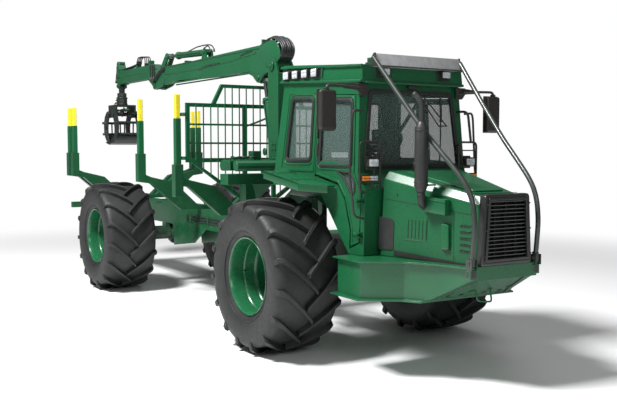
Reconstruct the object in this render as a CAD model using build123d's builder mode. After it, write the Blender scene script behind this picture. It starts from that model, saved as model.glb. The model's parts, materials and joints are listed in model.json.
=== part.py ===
from build123d import *
import os
from math import cos, radians, sin

os.makedirs("parts", exist_ok=True)

# A two-axle forestry forwarder with a hinged frame, a timber bed and a crane.
# Millimetres. +X is forward, +Y is the driver's left and +Z is up from the ground.
# The origin is on the ground, at mid length and mid width.

# Wheels and axles
front_axle_x = 2525
wheelbase = 4490
rear_axle_x = front_axle_x - wheelbase
track = 1950
tyre_r = 750
tyre_w = 700
tread_depth = 58
lug_pairs = 16
tyre_sides = 32
rim_sides = 16
rim_r = 378
bead_gap = 0.3
rim_wall = 12
disc_z = -110
disc_t = 24
spindle_r = 62
run_gap = 0.05
hub_r = 205
axle_tube_r = 95
diff_r = 165

# Frames and the steering joint between them
joint_x = front_axle_x - 1050
frame_half = 260
frame_top = 1060
frame_low = 860
frame_t = 25
joint_pin_r = 48
joint_boss_r = 95
joint_fork_t = 45
joint_gap = 6
beam_half = 230
beam_top = 1160
beam_low = 890
beam_rear_x = front_axle_x - 6480

# Cab: half widths at the rear and front wall, at window height
cab_rear_x = front_axle_x - 410
cab_front_x = front_axle_x + 930
cab_width_z = 2200
cab_rear_half = 705
cab_front_half = 605
cab_lean = 0.065
cab_wall = 40
glass_in = 14
glass_t = 12
seal_gap = 0.3
door_gap = 6
door_hinge = (front_axle_x + 1003, 690)

# Hood and grille
hood_rear_x = front_axle_x + 1110
hood_front_x = front_axle_x + 2090
hood_wall = 22
grille_x = front_axle_x + 2170
slat_count = 15

# Belly platform
deck_top_z = 1015
step_z = 690
plate_t = 14
deck_lip = 35
step_lip = 50

# Crane
slew_x = front_axle_x - 1500
slew_z = 1846
column_top_z = 2835
boom_pin = (front_axle_x - 1520, 2925)
lift_foot = (front_axle_x - 1675, 1930)
lift_eye = (front_axle_x - 1900, 2800)
tip_pin = (front_axle_x - 5190, 2940)
fold_foot = (front_axle_x - 3500, 3275)
fold_eye = (front_axle_x - 4800, 3330)
head_pin = (front_axle_x - 6870, 3020)
boom_half = 85
stick_half = 65
pin_r = 28
side_gap = 6

# Bunks, stakes and headboard
bunk_xs = (front_axle_x - 2120, front_axle_x - 3300, front_axle_x - 6100, front_axle_x - 6330)
bunk_t = 90
stake_y = 1055
stake_half = 42
stake_top = 2600
sleeve_z = ((1400, 1780), (1540, 1900), (1540, 1900), (1540, 1900))
sleeve_half = 52


def block(x, y, z):
    with BuildPart() as body:
        with Locations(((x[0] + x[1]) / 2, (y[0] + y[1]) / 2, (z[0] + z[1]) / 2)):
            Box(x[1] - x[0], y[1] - y[0], z[1] - z[0])
    return body.part


def rod(start, end, radius, sides=12):
    """A turned bar, faceted, with its corners at the radius."""
    axis = Vector(end) - Vector(start)
    with BuildPart() as body:
        with BuildSketch(Plane(origin=Vector(start), z_dir=axis)):
            RegularPolygon(radius, sides)
        extrude(amount=axis.length)
    return body.part


def bar(start, end, radius):
    """An eight-sided bar, for thin tubes."""
    return rod(start, end, radius, 8)


def bore(start, end, radius):
    """A round hole's core."""
    axis = Vector(end) - Vector(start)
    with BuildPart() as body:
        with BuildSketch(Plane(origin=Vector(start), z_dir=axis)):
            Circle(radius)
        extrude(amount=axis.length)
    return body.part


def pin(spot, y_low, y_high, radius):
    """A bar along Y through an (x, z) spot."""
    return rod((spot[0], y_low, spot[1]), (spot[0], y_high, spot[1]), radius, 10)


def pin_bore(spot, y_low, y_high, radius):
    """A round hole's core along Y through an (x, z) spot."""
    return bore((spot[0], y_low, spot[1]), (spot[0], y_high, spot[1]), radius)


def side_plate(outline, y_low, y_high):
    """A plate cut to an (x, z) outline, between two y values."""
    with BuildPart() as body:
        with BuildSketch(Plane(origin=(0, y_high, 0), x_dir=(1, 0, 0), z_dir=(0, -1, 0))):
            with BuildLine():
                Polyline(*outline, close=True)
            make_face()
        extrude(amount=y_high - y_low)
    return body.part


def floor_plate(outline, z_low, z_high):
    """A plate cut to an (x, y) outline, between two heights."""
    with BuildPart() as body:
        with BuildSketch(Plane.XY.offset(z_low)):
            with BuildLine():
                Polyline(*outline, close=True)
            make_face()
        extrude(amount=z_high - z_low)
    return body.part


def cross_plate(outline, x_low, x_high):
    """A plate cut to a (y, z) outline, between two x values."""
    with BuildPart() as body:
        with BuildSketch(Plane(origin=(x_low, 0, 0), x_dir=(0, 1, 0), z_dir=(1, 0, 0))):
            with BuildLine():
                Polyline(*outline, close=True)
            make_face()
        extrude(amount=x_high - x_low)
    return body.part


def drum(across, radius, sides):
    """A many-sided disc about Z; the radius is to its flats."""
    with BuildPart() as body:
        with BuildSketch(Plane.XY.offset(across[0])):
            RegularPolygon(radius, sides, rotation=180 / sides, major_radius=False)
        extrude(amount=across[1] - across[0])
    return body.part


def strap(start, end, half_start, half_end, y_low, y_high):
    """A plate with faceted round ends between two (x, z) pins."""
    with BuildPart() as body:
        with BuildSketch(Plane(origin=(0, y_high, 0), x_dir=(1, 0, 0), z_dir=(0, -1, 0))):
            with Locations(start):
                RegularPolygon(half_start, 8, major_radius=False)
            with Locations(end):
                RegularPolygon(half_end, 8, major_radius=False)
            make_hull()
        extrude(amount=y_high - y_low)
    return body.part


def grown(outline, amount):
    """An outline moved out by an amount, with sharp corners."""
    spots = [Vector(*spot) for spot in outline]
    after = spots[1:] + spots[:1]
    before = spots[-1:] + spots[:-1]
    area = sum(here.X * there.Y - there.X * here.Y for here, there in zip(spots, after))
    out = amount if area > 0 else -amount
    corners = []
    for last, here, there in zip(before, spots, after):
        one = (here - last).normalized()
        two = (there - here).normalized()
        normals = Vector(one.Y + two.Y, -one.X - two.X)
        step = normals * (out / (1 + one.dot(two)))
        corners.append((here.X + step.X, here.Y + step.Y))
    return corners


def finish(part, name):
    part.label = name
    export_step(part, f"parts/{name}.step")


# ---- Wheels ----
# Made about Z, with the outer side of the wheel at +Z.
bead_y = tyre_w / 2 - 65
wall_y = tyre_w / 2 - 5
wall_r = 570
carcass_r = tyre_r - tread_depth
bore_r = rim_r - 14
with BuildPart() as tyre_body:
    add(drum((-wall_y, wall_y), carcass_r, tyre_sides))
    # Flat shoulders, then the bore with its dished side walls.
    for end in (0, -1):
        face = tyre_body.faces().sort_by(Axis.Z)[end]
        chamfer(face.edges(), length=carcass_r - wall_r, length2=50, reference=face)
    add(drum((-tyre_w, tyre_w), bore_r, rim_sides), mode=Mode.SUBTRACT)
    for end in (0, -1):
        face = tyre_body.faces().sort_by(Axis.Z)[end]
        mouth = face.inner_wires()[0].edges()
        chamfer(mouth, length=wall_r - bore_r - 20, length2=wall_y - bead_y + 8, reference=face)
# One lug: (across, trailing edge, leading edge) at the centre line and at the shoulder.
lug_inner = (-18, -104, -40)
lug_outer = (356, 112, 196)
lug_mid = (sum(lug_inner[1:]) + sum(lug_outer[1:])) / 4
lug_turn = lug_mid / tyre_r
lug_reach = (lug_inner[2] - lug_inner[1] + lug_outer[2] - lug_outer[1]) / 4 + (lug_outer[1] - lug_inner[1]) / 2
lug_top = (tyre_r**2 - lug_reach**2) ** 0.5 - 1
lug_up = Vector(cos(lug_turn), sin(lug_turn), 0)
lug_face = Plane(origin=lug_up * lug_top, x_dir=(0, 0, 1), z_dir=lug_up).rotated((0, -2, 0))
with BuildPart() as lug:
    with BuildSketch(lug_face):
        with BuildLine():
            Polyline(
                (lug_inner[0], lug_inner[1] - lug_mid),
                (lug_outer[0], lug_outer[1] - lug_mid),
                (lug_outer[0], lug_outer[2] - lug_mid),
                (lug_inner[0], lug_inner[2] - lug_mid),
                close=True,
            )
        make_face()
    extrude(amount=-120)
other_lug = mirror(lug.part, Plane.XY, mode=Mode.PRIVATE)
with BuildPart() as tyre:
    add(tyre_body.part)
    with PolarLocations(0, lug_pairs):
        add(lug.part)
    with PolarLocations(0, lug_pairs, start_angle=180 / lug_pairs):
        add(other_lug)
    add(drum((40 - bead_y, bead_y - 40), carcass_r - 60, 10), mode=Mode.SUBTRACT)
    add(drum((-tyre_w, tyre_w), bore_r, rim_sides), mode=Mode.SUBTRACT)

# The wheels stand on their lugs.
axle_z = -tyre.part.bounding_box().min.Y

# Rim: barrel and flange, a deep dish stepped down to the disc, and the hub.
barrel_r = bore_r - bead_gap
with BuildPart() as rim:
    add(drum((-bead_y - 12, bead_y + 12), barrel_r, rim_sides))
    add(drum((bead_y + bead_gap, bead_y + 12), rim_r, rim_sides))
    add(drum((150, tyre_w), barrel_r - 10, rim_sides), mode=Mode.SUBTRACT)
    add(drum((disc_z, tyre_w), barrel_r - 26, rim_sides), mode=Mode.SUBTRACT)
    add(drum((-tyre_w, disc_z - disc_t), barrel_r - rim_wall, rim_sides), mode=Mode.SUBTRACT)
    add(drum((disc_z - disc_t, disc_z + 40), hub_r, 12))
    add(drum((disc_z, 20), hub_r - 50, 12))
    add(bore((0, 0, -tyre_w), (0, 0, -20), spindle_r + run_gap), mode=Mode.SUBTRACT)

# Wheel spots: name, x, side (+1 is left), turn so that every tyre rolls the same way.
wheels = (
    ("front_left", front_axle_x, 1),
    ("front_right", front_axle_x, -1),
    ("rear_left", rear_axle_x, 1),
    ("rear_right", rear_axle_x, -1),
)
for name, x, side in wheels:
    spot = Location((x, side * track / 2, axle_z))
    with BuildPart() as wheel_tyre:
        with Locations(spot * Rotation(90, 0, 0)):
            add(tyre.part)
    finish(wheel_tyre.part, "tyre_" + name)
    with BuildPart() as wheel_rim:
        with Locations(spot * Rotation(-90 * side, 0, 0)):
            add(rim.part)
    finish(wheel_rim.part, "rim_" + name)

# Axle: a casing with a swollen middle and a stub that carries each hub, and pads under the frame.
with BuildPart() as gear_case:
    add(drum((-170, 170), diff_r, 12))
    chamfer(gear_case.edges().group_by(Axis.Z)[0] + gear_case.edges().group_by(Axis.Z)[-1], length=45)
with BuildPart() as casing:
    add(drum((-track / 2 + 145, track / 2 - 145), axle_tube_r, 12))
    add(gear_case.part)
    for side in (1, -1):
        ends = sorted((side * (track / 2 - 230), side * (track / 2 - 145)))
        add(drum(ends, 118, 12))
        add(rod((0, 0, side * (track / 2 - 150)), (0, 0, side * (track / 2 - 30)), spindle_r, 24))


def axle(x, pad_y, pad_z):
    with BuildPart() as body:
        with Locations(Location((x, 0, axle_z)) * Rotation(90, 0, 0)):
            add(casing.part)
        add(block((x - 70, x + 70), (pad_y[0], pad_y[1]), (axle_z, pad_z)))
        add(block((x - 70, x + 70), (-pad_y[1], -pad_y[0]), (axle_z, pad_z)))
    return body.part


finish(axle(front_axle_x, (frame_half - 40, frame_half + 20), frame_low), "front_axle")
finish(axle(rear_axle_x, (beam_half - 40, beam_half + 20), beam_low), "rear_axle")

# ---- Front frame, with the steering joint's boss and pin ----
joint_z = (835, 1035)
steer_front_pin = (joint_x + 550, 380)
steer_rear_pin = (joint_x - 450, 420)
steer_z = 945
frame_side = (
    (joint_x + 300, frame_top),
    (joint_x + 300, frame_low + 30),
    (joint_x + 420, frame_low),
    (front_axle_x + 1940, frame_low),
    (front_axle_x + 1940, deck_top_z),
    (front_axle_x + 850, deck_top_z),
    (front_axle_x + 810, frame_top),
)
with BuildPart() as front_frame:
    for y_low, y_high in ((frame_half - frame_t, frame_half), (-frame_half, frame_t - frame_half)):
        add(side_plate(frame_side, y_low, y_high))
    add(block((joint_x + 300, front_axle_x + 810), (-frame_half, frame_half), (frame_top - 16, frame_top)))
    # Neck from the boss back to the side plates.
    neck = ((joint_x, -70), (joint_x + 325, -frame_half), (joint_x + 325, frame_half), (joint_x, 70))
    add(floor_plate(neck, joint_z[0] + 40, joint_z[0] + 75))
    add(floor_plate(neck, joint_z[1] - 45, joint_z[1] - 10))
    add(block((joint_x + 300, joint_x + 325), (-frame_half, frame_half), (frame_low + 30, frame_top)))
    add(rod((joint_x, 0, joint_z[0]), (joint_x, 0, joint_z[1]), joint_boss_r))
    pin_low = joint_z[0] - joint_gap - joint_fork_t - 12
    add(rod((joint_x, 0, pin_low), (joint_x, 0, joint_z[1] + joint_gap + joint_fork_t + 12), joint_pin_r))
    # Cross members under the engine and at the nose.
    for x in (1260, 1860):
        spot = front_axle_x + x
        add(block((spot, spot + 60), (-frame_half, frame_half), (frame_low, frame_low + 90)))
    # Ears for the steering cylinders.
    for side in (1, -1):
        for low in (steer_z - 52, steer_z + 32):
            x, y = steer_front_pin
            ear = ((x - 60, side * (frame_half - 5)), (x + 60, side * (frame_half - 5)))
            ear += ((x + 38, side * (y + 38)), (x - 38, side * (y + 38)))
            add(floor_plate(ear, low, low + 20))
        pin_end = side * steer_front_pin[1]
        add(rod((steer_front_pin[0], pin_end, steer_z - 60), (steer_front_pin[0], pin_end, steer_z + 60), 18))
finish(front_frame.part, "front_frame")

finish(block((front_axle_x + 1250, front_axle_x + 1930), (-190, 190), (frame_low + 90, 1480)), "engine_block")

# ---- Belly platform round the nose ----
half_plan = ((930, 850), (1300, 868), (1520, 575), (1800, 430), (2100, 355))
plan = tuple((front_axle_x + x, -y) for x, y in half_plan)
plan += tuple((front_axle_x + x, y) for x, y in reversed(half_plan))
nose_side = (
    (front_axle_x + 900, step_z),
    (front_axle_x + 1700, step_z),
    (front_axle_x + 2100, 900),
    (front_axle_x + 2100, deck_top_z + 50),
    (front_axle_x + 900, deck_top_z + 50),
)


def plan_sketch(grow, z):
    with BuildSketch(Plane.XY.offset(z)) as area:
        with BuildLine():
            Polyline(*grown(plan, grow), close=True)
        make_face()
    return area.sketch


with BuildPart() as belly_outer:
    add(plan_sketch(0, step_z))
    extrude(amount=deck_top_z - step_z)
    add(side_plate(nose_side, -1000, 1000), mode=Mode.INTERSECT)
with BuildPart() as belly_inner:
    add(plan_sketch(-plate_t, step_z))
    extrude(amount=deck_top_z - step_z + 10)
    add(side_plate(grown(nose_side, -plate_t), -1000, 1000), mode=Mode.INTERSECT)
with BuildPart() as step_plate:
    add(plan_sketch(step_lip, step_z - plate_t))
    extrude(amount=plate_t)
    add(block((0, front_axle_x + 1700), (-1000, 1000), (0, 2000)), mode=Mode.INTERSECT)
with BuildPart() as front_platform:
    add(belly_outer.part)
    add(belly_inner.part, mode=Mode.SUBTRACT)
    add(plan_sketch(deck_lip, deck_top_z - plate_t))
    extrude(amount=plate_t)
    add(step_plate.part)
    well = (-frame_half, frame_half)
    add(block((front_axle_x + 800, front_axle_x + 1940), well, (frame_low - 20, 1100)), mode=Mode.SUBTRACT)
    add(block((front_axle_x + 2086, front_axle_x + 2135), (-362, 362), (900, deck_top_z)))
finish(front_platform.part, "front_platform")

# ---- Hood and grille ----
def at_axle(outline):
    return [(front_axle_x + x, z) for x, z in outline]


# Each flat side passes through three points; the shoulder is the chamfer above it.
hood_side = (hood_rear_x, 520, 1015), (hood_front_x, 286, 1015), (hood_rear_x, 482, 1700)
hood_shoulder = (hood_rear_x, 482, 1700), (hood_front_x, 250, 1520), (hood_rear_x, 425, 1773)
hood_profile = ((1110, 1000), (1110, 1773), (2090, 1577), (2090, 1000))


def flat_through(points, side, inset):
    """A plane through three points, facing out of the left or right side and drawn in by an inset."""
    first, second, third = (Vector(x, side * y, z) for x, y, z in points)
    out = (third - first).cross(second - first).normalized() * side
    return Plane(origin=first - out * inset, z_dir=out)


def hood_form(inset, rear, front):
    top = [(x, z - (inset if z > 1500 else 0)) for x, z in hood_profile]
    with BuildPart() as body:
        add(side_plate(at_axle(top), -700, 700))
        for outline in (hood_side, hood_shoulder):
            for side in (1, -1):
                split(bisect_by=flat_through(outline, side, inset), keep=Keep.BOTTOM)
        add(block((hood_rear_x + rear, hood_front_x + front), (-700, 700), (0, 2000)), mode=Mode.INTERSECT)
    return body.part


hood_outer = hood_form(0, 0, 0)
with BuildPart() as hood:
    add(hood_outer)
    add(hood_form(hood_wall, hood_wall, 2), mode=Mode.SUBTRACT)
    add(block((0, 6000), (-1500, 1500), (0, deck_top_z)), mode=Mode.SUBTRACT)
finish(hood.part, "hood")

# Grille: a tapered ring with level slats.
ring = ((-286, 1015), (286, 1015), (250, 1602), (-250, 1602))
mouth = ((-249, 1050), (249, 1050), (218, 1570), (-218, 1570))
with BuildPart() as slats:
    for step in range(slat_count):
        low = 1050 + (step + 0.5) * 520 / slat_count - 6
        add(block((grille_x - 50, grille_x - 12), (-252, 252), (low, low + 12)))
    add(cross_plate(ring, hood_front_x, grille_x), mode=Mode.INTERSECT)
with BuildPart() as grille:
    add(cross_plate(ring, hood_front_x, grille_x))
    add(cross_plate(mouth, hood_front_x - 5, grille_x + 5), mode=Mode.SUBTRACT)
    add(slats.part)
    add(front_platform.part, mode=Mode.SUBTRACT)
finish(grille.part, "grille")

# Exhaust stack on the hood's rear corner.
stack_x = front_axle_x + 1195
stack_y = -375
with BuildPart() as exhaust_stack:
    add(rod((stack_x, stack_y, 1600), (stack_x, stack_y, 2110), 80, 16))
    chamfer(exhaust_stack.edges().group_by(Axis.Z)[-1], length=40)
    add(bar((stack_x, stack_y, 2100), (stack_x, stack_y, 2385), 36))
    add(bar((stack_x, stack_y, 2370), (stack_x - 80, stack_y - 50, 2440), 32))
    add(hood_outer, mode=Mode.SUBTRACT)
finish(exhaust_stack.part, "exhaust_stack")

# ---- Cab ----
# Side outline as (x from the front axle, z).
cab_side = (
    (-410, 1600),
    (-300, 2620),
    (885, 2560),
    (930, 1750),
    (1050, 1600),
    (1070, 1020),
    (860, 1020),
    (350, 1600),
)
door_side = (
    (300, 1722),
    (300, 2478),
    (840, 2451),
    (876, 1745),
    (996, 1570),
    (1000, 1130),
    (885, 1085),
    (880, 1238),
    (775, 1516),
    (650, 1652),
)
# The opening is wider than the door behind, where the door's thickness swings through.
door_opening = (
    (286, 1703),
    (286, 2486),
    (846, 2457),
    (882, 1744),
    (1002, 1571),
    (1006, 1124),
    (866, 1062),
    (862, 1230),
    (756, 1500),
    (636, 1632),
)
door_window = (
    (345, 1840),
    (345, 2440),
    (805, 2415),
    (843, 1760),
    (905, 1660),
    (905, 1560),
    (845, 1560),
    (700, 1725),
    (560, 1840),
)
rear_window = ((-205, 1850), (-140, 2470), (215, 2455), (215, 1850))
front_window = ((-560, 1800), (-480, 2490), (480, 2490), (560, 1800))
back_window = ((-585, 1850), (-545, 2460), (545, 2460), (585, 1850))


hinge_z = (1200, 1500)


cab_flank = (
    (cab_rear_x, cab_rear_half, cab_width_z),
    (cab_front_x, cab_front_half, cab_width_z),
    (cab_rear_x, cab_rear_half - 100 * cab_lean, cab_width_z + 100),
)


def between_flanks(part, inset):
    """What lies between the cab's two leaning sides, drawn in by an inset."""
    with BuildPart() as body:
        add(part)
        for side in (1, -1):
            split(bisect_by=flat_through(cab_flank, side, inset), keep=Keep.BOTTOM)
    return body.part


def cab_form(inset, wall=0):
    """The cab's outer shape, with its sides drawn in by one wall and its front and floor by another."""
    return between_flanks(side_plate(grown(at_axle(cab_side), -wall), -1200, 1200), inset)


cab_outer = cab_form(0)
cab_inner = cab_form(cab_wall, cab_wall)
with BuildPart() as cab_walls:
    add(cab_outer)
    add(cab_inner, mode=Mode.SUBTRACT)
with BuildPart() as cab_sides:
    add(cab_outer)
    add(cab_form(cab_wall), mode=Mode.SUBTRACT)
with BuildPart() as glass_layer:
    add(cab_form(glass_in, glass_in))
    add(cab_form(glass_in + glass_t, glass_in + glass_t), mode=Mode.SUBTRACT)
with BuildPart() as side_glass:
    add(cab_form(glass_in))
    add(cab_form(glass_in + glass_t), mode=Mode.SUBTRACT)

front_hole = cross_plate(front_window, cab_front_x - 200, cab_front_x + 80)
back_hole = cross_plate(back_window, cab_rear_x - 50, cab_rear_x + 190)
with BuildPart() as door_lugs:
    x, y = door_hinge
    for side in (1, -1):
        lug_plan = [(x + 8, side * (y - 100)), (x + 42, side * (y - 100)), (x + 42, side * (y + 12))]
        lug_plan += [(x - 14, side * (y + 12)), (x - 14, side * (y - 10)), (x + 8, side * (y - 14))]
        for z in hinge_z:
            add(floor_plate(lug_plan, z - 25, z - 13))
            add(floor_plate(lug_plan, z + 13, z + 25))
    add(cab_inner, mode=Mode.SUBTRACT)
with BuildPart() as cab_shell:
    add(cab_walls.part)
    add(side_plate(at_axle(door_opening), -1200, 1200), mode=Mode.SUBTRACT)
    add(side_plate(at_axle(rear_window), -1200, 1200), mode=Mode.SUBTRACT)
    add(front_hole, mode=Mode.SUBTRACT)
    add(back_hole, mode=Mode.SUBTRACT)
    add(door_lugs.part)
    for side in (1, -1):
        # Feet down to the frame, and the pins of the door hinges.
        for x in (-330, 250):
            y = sorted((side * 190, side * 250))
            add(block((front_axle_x + x, front_axle_x + x + 80), y, (frame_top, 1600)))
        x, y = door_hinge
        for z in hinge_z:
            add(rod((x, side * y, z - 26), (x, side * y, z + 26), 8))
finish(cab_shell.part, "cab_shell")

with BuildPart() as side_panes:
    add(side_glass.part)
    add(side_plate(grown(at_axle(rear_window), -seal_gap), -1200, 1200), mode=Mode.INTERSECT)
with BuildPart() as front_pane:
    add(glass_layer.part)
    add(cross_plate(grown(front_window, -seal_gap), cab_front_x - 200, cab_front_x + 80), mode=Mode.INTERSECT)
with BuildPart() as back_pane:
    add(glass_layer.part)
    add(cross_plate(grown(back_window, -seal_gap), cab_rear_x - 50, cab_rear_x + 190), mode=Mode.INTERSECT)
with BuildPart() as cab_glass:
    add(side_panes.part)
    add(front_pane.part)
    add(back_pane.part)
finish(cab_glass.part, "cab_glass")

knuckle = [(-70, -58), (-6, -58), (-6, -14), (13, -10), (13, 12), (-14, 12), (-70, -14)]
with BuildPart() as door_leaves:
    hinge_x, hinge_y = door_hinge
    for side in (1, -1):
        for z in hinge_z:
            plan_points = [(hinge_x + dx, side * (hinge_y + dy)) for dx, dy in knuckle]
            add(floor_plate(plan_points, z - 7, z + 7))
            spot = (hinge_x, side * hinge_y)
            add(bore((*spot, z - 10), (*spot, z + 10), 8 + run_gap), mode=Mode.SUBTRACT)
    add(cab_inner, mode=Mode.SUBTRACT)
for side, name in ((1, "left"), (-1, "right")):
    y = (0, 1200) if side > 0 else (-1200, 0)
    with BuildPart() as door:
        add(cab_sides.part)
        add(side_plate(at_axle(door_side), *y), mode=Mode.INTERSECT)
        add(side_plate(at_axle(door_window), *y), mode=Mode.SUBTRACT)
        add(door_leaves.part & block((0, 5000), y, (0, 3000)))
    finish(door.part, "door_" + name)
    with BuildPart() as pane:
        add(side_glass.part)
        add(side_plate(grown(at_axle(door_window), -seal_gap), *y), mode=Mode.INTERSECT)
    finish(pane.part, "door_glass_" + name)

# Roof: a hollow cap that rests on the walls.
roof_side = ((-345, 2623), (-310, 2800), (920, 2722), (935, 2558))
roof_outer = between_flanks(side_plate(at_axle(roof_side), -1200, 1200), -14)
roof_room = ((-290, 2655), (-270, 2772), (890, 2698), (900, 2595))
# Lifting eye on top.
eye_x = front_axle_x + 250
with BuildPart() as roof_eye:
    add(block((eye_x - 45, eye_x + 45), (-12, 12), (2755, 2870)))
    add(pin_bore((eye_x, 2825), -20, 20, 22), mode=Mode.SUBTRACT)
with BuildPart() as cab_roof:
    add(roof_outer)
    add(cab_outer, mode=Mode.SUBTRACT)
    add(side_plate(at_axle(roof_room), -520, 520), mode=Mode.SUBTRACT)
    add(roof_eye.part)
finish(cab_roof.part, "cab_roof")

# ---- Inside the cab ----
seat_x = front_axle_x + 60
with BuildPart() as seat:
    add(block((seat_x - 130, seat_x + 150), (-140, 140), (1640, 1700)))
    add(block((seat_x - 80, seat_x + 100), (-90, 90), (1700, 1930)))
    add(block((seat_x - 240, seat_x + 260), (-250, 250), (1930, 2040)))
    back = ((seat_x - 250, 1990), (seat_x - 300, 2500), (seat_x - 205, 2500), (seat_x - 130, 2040))
    add(side_plate(back, -230, 230))
    for side in (1, -1):
        y = sorted((side * 262, side * 330))
        add(block((seat_x - 150, seat_x + 230), y, (2120, 2165)))
        y = sorted((side * 240, side * 275))
        add(block((seat_x - 120, seat_x - 60), y, (1950, 2140)))
finish(seat.part, "seat")

# Steering column and wheel, on the sloping floor.
wheel_centre = (front_axle_x + 520, 2010)
with BuildPart() as controls:
    column = ((front_axle_x + 640, 1150), (front_axle_x + 560, 1960), (front_axle_x + 640, 1960))
    column += ((front_axle_x + 760, 1150),)
    add(side_plate(column, -60, 60))
    add(bar((front_axle_x + 600, 0, 1940), (wheel_centre[0] - 6, 0, wheel_centre[1] + 5), 26))
    face = Plane(origin=(wheel_centre[0], 0, wheel_centre[1]), x_dir=(0, 1, 0), z_dir=(-0.75, 0, 0.66))
    with BuildSketch(face):
        RegularPolygon(178, 16)
        RegularPolygon(150, 16, mode=Mode.SUBTRACT)
        Rectangle(320, 24)
        RegularPolygon(45, 8)
    extrude(amount=18)
    add(cab_inner, mode=Mode.INTERSECT)
finish(controls.part, "controls")

# ---- Fenders beside the cab, over the front wheels ----
fender_top = ((-455, 1590), (-300, 1715), (-100, 1742), (640, 1632), (760, 1500), (860, 1230))
fender_t = 20
arches = []
for side in (1, -1):
    y = sorted((side * 640, side * 1000))
    under = [(x, z - fender_t - (4 if 0 < i < 4 else 0)) for i, (x, z) in enumerate(fender_top)]
    lip = [(x, z - 75) for x, z in fender_top[1:4]]
    with BuildPart() as arch:
        add(side_plate(at_axle(fender_top + tuple(reversed(under))), *y))
        add(side_plate(at_axle(fender_top[1:4] + tuple(reversed(lip))), *sorted((side * 985, side * 1000))))
        add(cab_outer, mode=Mode.SUBTRACT)
    arches.append(arch.part)
with BuildPart() as fenders:
    for part in arches:
        add(part)
finish(fenders.part, "fenders")

# ---- Guard bars before the windscreen, with the visor that ties them ----
with BuildPart() as front_guard:
    for side in (1, -1):
        foot = (front_axle_x + 2112, side * 345, 1040)
        head = (front_axle_x + 1000, side * 500, 2755)
        add(bar(foot, head, 23))
        y = sorted((side * 305, side * 385))
        add(block((front_axle_x + 2088, front_axle_x + 2135), y, (deck_top_z, 1085)))
    visor = ((850, 2700), (1010, 2705), (1010, 2815), (985, 2815), (980, 2745), (850, 2750))
    add(side_plate(at_axle(visor), -525, 525))
    add(roof_outer, mode=Mode.SUBTRACT)
finish(front_guard.part, "front_guard")

# ---- Mirrors on arms, and the hand rails at the foot of the windscreen ----
rail_x = (front_axle_x + 1022, front_axle_x + 1046)
rail_loop = ((464, 1560), (464, 1990), (500, 2030), (600, 2030), (636, 1990), (636, 1560))
rail_gap = ((490, 1550), (490, 1980), (510, 2004), (590, 2004), (610, 1980), (610, 1550))
with BuildPart() as rails:
    for side in (1, -1):
        add(cross_plate([(side * across, z) for across, z in rail_loop], *rail_x))
        gap = [(side * across, z) for across, z in rail_gap]
        add(cross_plate(gap, rail_x[0] - 5, rail_x[1] + 5), mode=Mode.SUBTRACT)
with BuildPart() as mirrors:
    for side in (1, -1):
        y = sorted((side * 555, side * 632))
        add(block((front_axle_x + 870, front_axle_x + 950), y, (2500, 2556)))
        add(bar((front_axle_x + 935, side * 600, 2530), (front_axle_x + 948, side * 985, 2560), 14))
        add(bar((front_axle_x + 948, side * 972, 2565), (front_axle_x + 948, side * 972, 2460), 14))
        y = sorted((side * 895, side * 1055))
        add(block((front_axle_x + 924, front_axle_x + 972), y, (2130, 2475)))
    add(rails.part)
    add(cab_outer, mode=Mode.SUBTRACT)
    add(roof_outer, mode=Mode.SUBTRACT)
finish(mirrors.part, "mirrors")

# ---- Lamps: rail headlamps, then work lamps round the roof ----
lamp_spots = [((1012, 1085), (490, 610), (1835, 1945)), ((905, 968), (310, 410), (2628, 2696))]
lamp_spots += [((x, x + 76), (620, 712), (2655, 2722)) for x in (-250, -95, 60, 215)]
lamp_spots += [((-395, -300), (400, 500), (2690, 2760))]
with BuildPart() as lamps:
    for side in (1, -1):
        for x, y, z in lamp_spots:
            add(block((front_axle_x + x[0], front_axle_x + x[1]), sorted((side * y[0], side * y[1])), z))
    add(roof_outer, mode=Mode.SUBTRACT)
    add(cab_outer, mode=Mode.SUBTRACT)
finish(lamps.part, "lamps")

# ---- Rear frame ----
neck_x = joint_x - 330
beam_side = (
    (neck_x, beam_top),
    (beam_rear_x, beam_top),
    (beam_rear_x, beam_low + 70),
    (beam_rear_x + 280, beam_low),
    (front_axle_x - 4220, beam_low),
    (front_axle_x - 4180, 590),
    (front_axle_x - 3500, 680),
    (front_axle_x - 3150, beam_low),
    (neck_x - 300, beam_low),
    (neck_x, 784),
)
ear_low = joint_z[0] - joint_gap - joint_fork_t
ear_high = joint_z[1] + joint_gap
with BuildPart() as rear_frame:
    for y in ((beam_half - frame_t, beam_half), (-beam_half, frame_t - beam_half)):
        add(side_plate(beam_side, *y))
    add(block((beam_rear_x, neck_x), (-beam_half, beam_half), (beam_top - 14, beam_top)))
    add(block((neck_x - frame_t, neck_x), (-beam_half, beam_half), (784, beam_top)))
    for x in (beam_rear_x, front_axle_x - 3900, front_axle_x - 5300):
        add(block((x, x + 20), (-beam_half, beam_half), (beam_low + 75, beam_top)))
    # Ears of the steering joint.
    for low in (ear_low, ear_high):
        with BuildSketch(Plane.XY.offset(low)):
            with Locations((joint_x, 0)):
                RegularPolygon(joint_boss_r, 12)
            with Locations((neck_x - 10, 0)):
                Rectangle(20, 2 * beam_half - 60)
            make_hull()
            with Locations((joint_x, 0)):
                Circle(joint_pin_r + run_gap, mode=Mode.SUBTRACT)
        extrude(amount=joint_fork_t)
    # Ears for the rods of the steering cylinders.
    for side in (1, -1):
        for low in (steer_z - 64, steer_z + 44):
            x, y = steer_rear_pin
            ear = ((x - 90, side * (beam_half - 5)), (x + 60, side * (beam_half - 5)))
            ear += ((x + 36, side * (y + 34)), (x - 36, side * (y + 34)))
            add(floor_plate(ear, low, low + 20))
finish(rear_frame.part, "rear_frame")

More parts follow.
